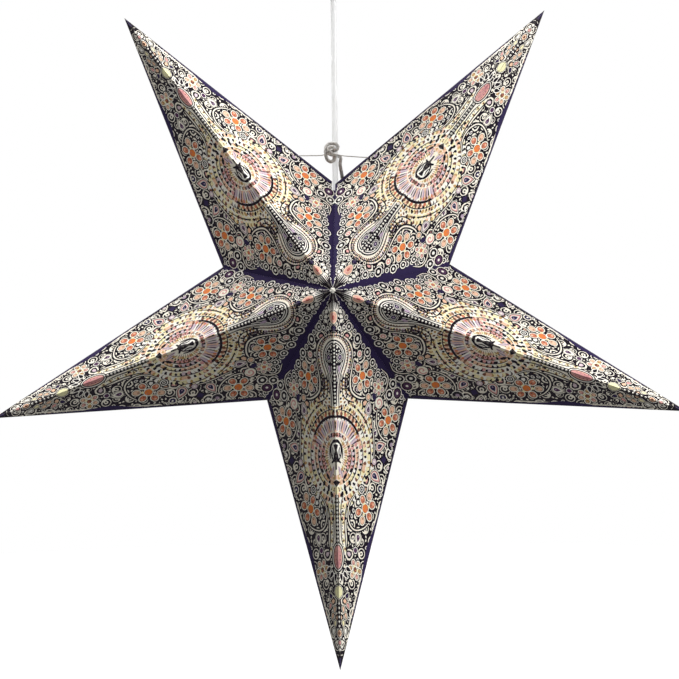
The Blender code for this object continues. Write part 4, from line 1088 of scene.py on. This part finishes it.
class Panel:
    """Where one panel lies: its corner at the middle, its two flat directions, and outwards."""

    def __init__(self, arm, side, face):
        turn = FIRST_ARM_TURN + 2 * HALF_WEDGE * arm
        self.apex = STAR_CENTRE + Vector((0, HALF_DEPTH if face == "back" else -HALF_DEPTH, 0))
        notch, tip = star_place(NOTCH_REACH, turn + side * HALF_WEDGE), star_place(STAR_REACH, turn)
        self.along = (tip - self.apex).normalized()
        self.across = (notch - self.apex) - self.along * (notch - self.apex).dot(self.along)
        self.across.normalize()
        self.out = self.along.cross(self.across)
        self.mirrored = self.out.dot(notch + tip + self.apex - 3 * STAR_CENTRE) < 0
        if self.mirrored:
            self.out.negate()

    def place(self, flat, lift):
        """A flat place in millimetres, raised off the sheet's middle, as a place in the frame."""
        return self.apex + (self.along * flat[0] + self.across * flat[1]) * MM + self.out * lift

    def shadow(self, outline, direction):
        """The outline carried along a direction on to the sheet, as flat places in millimetres."""
        found = []
        for point in outline:
            point = Vector(point) - self.apex
            point = point - direction * (point.dot(self.out) / direction.dot(self.out))
            found.append(Vector((point.dot(self.along), point.dot(self.across))) / MM)
        return found


def panel_cuts(panel, arm, side, face):
    """What is cut out of an upper panel: the tie string's hole, the cord's mouth, the clipped corner."""
    name = ARM_NAMES[arm]
    if (name, side) not in HOLE_REACHES:
        return []
    notch = star_place(NOTCH_REACH, math.pi / 2)
    tip = star_place(STAR_REACH, FIRST_ARM_TURN + 2 * HALF_WEDGE * arm)
    hole = notch + (tip - notch).normalized() * HOLE_REACHES[(name, side)]
    cuts = [panel.shadow(circle(hole, STRING_HOLE, DEPTH, UP, HOLE_CORNERS), RIGHT)]
    if face == "back":
        mouth = circle(notch + MOUTH_PLACE, MOUTH_RADIUS, RIGHT, DEPTH, MOUTH_CORNERS)
        cuts.append(panel.shadow(mouth, UP))
    elif name == "upper_left":
        wide, tall = CLIPPED_CORNER
        corner = [notch + RIGHT * x + UP * z
                  for x, z in ((-wide, -tall), (wide, -tall), (wide, tall), (-wide, tall))]
        cuts.append(panel.shadow(corner, DEPTH))
    return cuts


def inset(corners, steps):
    """The triangle with each edge moved in by its step. Edge k runs from corner k to the next."""
    lines = []
    for k, corner in enumerate(corners):
        along = (corners[(k + 1) % 3] - corner).normalized()
        lines.append((corner + Vector((-along.y, along.x)) * steps[k], along))
    moved = []
    for k in range(3):
        (p, d), (q, e) = lines[k - 1], lines[k]
        share = ((q - p).x * e.y - (q - p).y * e.x) / (d.x * e.y - d.y * e.x)
        moved.append(p + d * share)
    return moved


def panel_outlines():
    """The sheet's inner and outer outlines, mitred so that neighbours clear each other as they fold."""
    notch_along, notch_across, length = (value / MM for value in flat_corners())
    corners = [Vector((0, 0)), Vector((length, 0)), Vector((notch_along, notch_across))]
    half = PAPER / 2 / MM
    inner, outer = [], []
    for low, high in (RIDGE_ANGLES, SIDE_ANGLES, VALLEY_ANGLES):
        slopes = (1 / math.tan(low), 1 / math.tan(high))
        inner.append(half * max(slopes) + RIM_CLEARANCE)
        outer.append(-half * min(slopes) + RIM_CLEARANCE)
    return inset(corners, inner), inset(corners, outer)


def pulled_in(point, outer, inner):
    """Where a rim place of the printed face lies on the plain face: it moves in with its nearest edge."""
    nearest, step = RIM_REACH, Vector((0, 0))
    for k, corner in enumerate(outer):
        along = outer[(k + 1) % 3] - corner
        share = max(0.0, min(1.0, (point - corner).dot(along) / along.length_squared))
        foot = corner + along * share
        if (point - foot).length < nearest:
            nearest, step = (point - foot).length, inner[k].lerp(inner[(k + 1) % 3], share) - foot
    return point + step * (1 - nearest / RIM_REACH)


def print_faces(outer, cuts):
    """The printed face: the sheet split along every printed shape, with the ink of the topmost one."""
    shapes = [outline for outline, _ in PRINT] + [outer] + [anticlockwise(cut) for cut in cuts]
    verts, faces = [], []
    for outline in shapes:
        faces.append(list(range(len(verts), len(verts) + len(outline))))
        verts += outline
    sheet = len(PRINT)
    verts, _, faces, _, _, owners = delaunay_2d_cdt(verts, [], faces, 1, MERGE, True)
    kept = [(face, max(k for k in owner if k < sheet)) for face, owner in zip(faces, owners)
            if sheet in owner and max(owner) == sheet]
    used = sorted({v for face, _ in kept for v in face})
    new = {old: k for k, old in enumerate(used)}
    return [Vector(verts[v]) for v in used], [([new[v] for v in face], PRINT[k][1]) for face, k in kept]


def rim_loops(printed):
    """The closed loops of edges that only one face has, each as point numbers, and the ink at each edge."""
    inks = {(a, b): ink for face, ink in printed for a, b in zip(face, face[1:] + face[:1])}
    following = {a: b for a, b in inks if (b, a) not in inks}
    loops = []
    while following:
        start, point = next(iter(following.items()))
        loop = [start]
        del following[start]
        while point != start:
            loop.append(point)
            point = following.pop(point)
        loops.append(loop)
    return loops, inks


def plain_faces(loops, spots, below):
    """The plain face: what lies inside the longest loop and outside the others."""
    longest = loops.index(max(loops, key=len))
    rim = [point for loop in loops for point in loop]
    outlines, start = [], 0
    for k, loop in enumerate(loops):
        outlines.append(list(range(start, start + len(loop)))[::1 if k == longest else -1])
        start += len(loop)
    flat = [spots[point] for point in rim]
    _, _, faces, origins, _, owners = delaunay_2d_cdt(flat, [], outlines, 1, PLAIN_MERGE, True)
    return [[below[rim[origins[v][0]]] for v in face][::-1]
            for face, owner in zip(faces, owners) if owner == [longest]]


def panel_mesh(name, panel, cuts):
    """One closed sheet: printed outside, plain inside, with mitred rims."""
    inner, outer = panel_outlines()
    flat, printed = print_faces(outer, cuts)
    loops, edge_inks = rim_loops(printed)
    rim = [point for loop in loops for point in loop]
    edges = [edge for loop in loops for edge in zip(loop, loop[1:] + loop[:1])]
    spots = {point: pulled_in(flat[point], outer, inner) for point in rim}
    below = {point: len(flat) + k for k, point in enumerate(rim)}
    plain = plain_faces(loops, spots, below)
    faces = [face for face, _ in printed] + [[b, a, below[a], below[b]] for a, b in edges] + plain
    inks = [ink for _, ink in printed] + [edge_inks[edge] for edge in edges] + ["sheet"] * len(plain)
    if panel.mirrored:
        faces = [face[::-1] for face in faces]
    verts = ([panel.place(point, PAPER / 2) for point in flat]
             + [panel.place(spots[point], -PAPER / 2) for point in rim])
    mesh = bpy.data.meshes.new(name)
    mesh.from_pydata([tuple(place) for place in verts], [], faces)
    colours = [value for face, ink in zip(faces, inks) for value in (*INKS[ink], 1.0) * len(face)]
    mesh.attributes.new("ink", "FLOAT_COLOR", "CORNER").data.foreach_set("color", colours)
    places = [value for place in flat + [spots[point] for point in rim]
              for value in (place.x * MM, place.y * MM, 0)]
    mesh.attributes.new("paper_place", "FLOAT_VECTOR", "POINT").data.foreach_set("vector", places)
    return mesh


def half_name(arm, side):
    """Which half of its arm a panel is, as the bodies' names say it."""
    name = ARM_NAMES[arm]
    if name == "bottom":
        return "right" if side > 0 else "left"
    turned = side if name in ("upper_right", "right") else -side
    return "upper" if turned > 0 else "lower"


def fold_star():
    """The twenty printed panels, each on its own body."""
    paper = printed_paper()
    for arm, arm_name in enumerate(ARM_NAMES):
        for side in (1, -1):
            for face in ("front", "back"):
                body = f"{arm_name}_arm_{face}_{half_name(arm, side)}"
                panel = Panel(arm, side, face)
                mesh = panel_mesh(f"printed_{body}", panel, panel_cuts(panel, arm, side, face))
                add_piece(mesh.name, mesh, paper, body, (f"{body}_panel",))


# Turned pieces

SHALLOW_TURN = math.radians(32)     # corners below this belong to a curve
SHARP_TURN = math.radians(50)       # corners above this stay sharp
ON_AXIS = 0.000001
SOFT_EDGE = 0.0008
TURNED_STEPS = 96


def half_section(name):
    """A turned piece's outline to the right of its axis, as (radius, height) in order, and if it closes."""
    frame_node = NODES[name]
    places = [frame_node.matrix_world @ vertex.co for vertex in frame_node.data.vertices]
    beside = {}
    for edge in frame_node.data.edges:
        pair = [places[k] for k in edge.vertices]
        if all(abs(place.y) < ON_AXIS and place.x > -ON_AXIS for place in pair):
            first, second = ((round(place.x, 6), round(place.z, 6)) for place in pair)
            if first != second:
                beside.setdefault(first, set()).add(second)
                beside.setdefault(second, set()).add(first)
    ends = [place for place in beside if len(beside[place]) == 1]
    order = [min(ends or beside)]
    while beside[order[-1]] - set(order):
        order.append(min(beside[order[-1]] - set(order)))
    if ends:            # a flat end has no place of its own on the axis
        order = ([(0, order[0][1])] * (order[0][0] > 0) + order
                 + [(0, order[-1][1])] * (order[-1][0] > 0))
    return [Vector(place) for place in order], not ends


def round_off(outline, closed):
    """The outline with its corners cut twice, so that edges are soft and curves run smoothly."""
    for widest in (SOFT_EDGE, SOFT_EDGE / 3):
        rounded = [] if closed else [outline[0]]
        count = len(outline)
        for k in range(count) if closed else range(1, count - 1):
            before, corner, after = outline[k - 1], outline[k], outline[(k + 1) % count]
            turn = (corner - before).angle(after - corner)
            for other in (before, after):
                apart = (other - corner).length
                cut = apart / 4 if turn < SHALLOW_TURN else min(widest, apart / 4)
                rounded.append(corner.lerp(other, cut / apart))
        if not closed:
            rounded.append(outline[-1])
        outline = rounded
    return outline


def turned_piece(name, material, body, replaced):
    """A piece turned about the lamp's axis from the outline of the node that it replaces."""
    outline, closed = half_section(replaced)
    verts, rings = [], []
    for radius, height in round_off(outline, closed):
        if radius < ON_AXIS:
            rings.append([len(verts)] * TURNED_STEPS)
            verts.append((0, 0, height))
        else:
            rings.append(range(len(verts), len(verts) + TURNED_STEPS))
            verts += circle((0, 0, height), radius, RIGHT, DEPTH, TURNED_STEPS)
    ends = list(zip(rings, rings[1:])) + ([(rings[-1], rings[0])] if closed else [])
    mesh = smooth_mesh(name, verts, [face for first, second in ends for face in between(first, second)])
    shape = bmesh.new()
    shape.from_mesh(mesh)
    bmesh.ops.recalc_face_normals(shape, faces=shape.faces)
    shape.to_mesh(mesh)
    shape.free()
    mesh.set_sharp_from_angle(angle=SHARP_TURN)
    add_piece(name, mesh, material, body, (replaced,))


# Putting it together

def hang_lamp_cord():
    """The lamp cord, and the short cord that is fixed inside the ceiling cup."""
    skin = white_cord_skin()
    cord, length = plain_cord("white_lamp_cord", LAMP_CORD_ROUTE, skin, "pendant",
                              ("lamp_cord",))
    plain_cord("white_feed_cord", FEED_CORD_ROUTE, skin, "ceiling_fitting", ("feed_cord",))


def tie_strings():
    """The tie string: a stretch on the knot, and a taut one with a stopper knot on each side of it."""
    fibre = twisted_fibre("grey_string_fibre", (0.60, 0.57, 0.52), (0.40, 0.37, 0.33), 2600.0)
    bodies = {"left": "upper_left_arm_front_upper", "middle": "pendant",
              "right": "upper_right_arm_front_upper"}
    routes = {"left": LEFT_STRING_ROUTE, "middle": MIDDLE_STRING_ROUTE, "right": RIGHT_STRING_ROUTE}
    strings = {side: laid_cord(f"grey_tie_string_{side}", routes[side], fibre, bodies[side], "grey_string",
                               (f"tie_string_{side}",), spacing=STRING_STEP, **STRING) for side in routes}
    for side, end, away in (("left", LEFT_STRING_ROUTE[0], 1), ("right", RIGHT_STRING_ROUTE[-1], -1)):
        stopper, _ = laid_cord(f"grey_string_stopper_{side}", stopper_route(end, away), fibre, bodies[side],
                               "grey_string", (), spacing=STOPPER_STEP, **STRING)
        string, line = strings[side]
        line = line if side == "right" else line[::-1]
    return strings["middle"][0]


def hang_tie():
    """The hanging tie's knot round the lamp cord, its tail, and the string that lies on the knot."""
    fibre = twisted_fibre("grey_tie_fibre", (0.74, 0.72, 0.69), (0.50, 0.48, 0.46), 1400.0)
    knot, _ = laid_cord("grey_hanging_knot", KNOT_ROUTE, fibre, "pendant", "grey_tie",
                        ("hanging_knot",), **TIE)
    tail, line = laid_cord("grey_tie_tail", TAIL_ROUTE, fibre, "pendant", "grey_tie",
                           ("hanging_tie",), **TIE)
    string = tie_strings()


def make_fittings():
    """The turned pieces, and the CAD nodes that stay, each in its own material."""
    plastic = moulded("white_moulded_plastic", (0.78, 0.78, 0.76), (0.70, 0.70, 0.68), 0.40)
    rubber = moulded("white_rubber", (0.78, 0.78, 0.77), (0.68, 0.68, 0.67), 0.58, 1300.0)
    zinc = plated("zinc_plated_steel", (0.62, 0.63, 0.65), (0.50, 0.50, 0.51), 0.34)
    brass = plated("drawn_brass", (0.78, 0.58, 0.26), (0.60, 0.42, 0.18), 0.28)
    for name, material, body, slot, replaced in (
            ("white_ceiling_cup", plastic, "ceiling_fitting", "white_plastic", "ceiling_cup"),
            ("white_cord_grip", plastic, "ceiling_fitting", "white_plastic", "cord_grip"),
            ("white_strain_relief", rubber, "strain_relief", "white_rubber", "cord_strain_relief"),
            ("white_lampholder_cap", plastic, "pendant", "white_plastic", "lampholder_cap"),
            ("white_lampholder_body", plastic, "pendant", "white_plastic", "lampholder_body"),
            ("brass_screw_shell", brass, "bulb", "brass", "bulb_screw_shell"),
            ("frosted_bulb_globe", frosted_glass(), "bulb", "frosted_glass", "bulb_globe")):
        turned_piece(name, material, body, replaced)
    for name, material in (("grip_nut", plastic), ("terminal_block", plastic), ("lampholder_core", plastic),
                           ("lampholder_ring", plastic), ("ceiling_plate", zinc), ("cup_side_screw", zinc)):
        for slot in NODES[name].material_slots:
            slot.material = material


place_camera()
make_paper_sheet()
make_crease_rub()
make_grain()
hang_lamp_cord()
hang_tie()
light_scene()
lay_floor()
draw_print()
fold_star()
make_fittings()
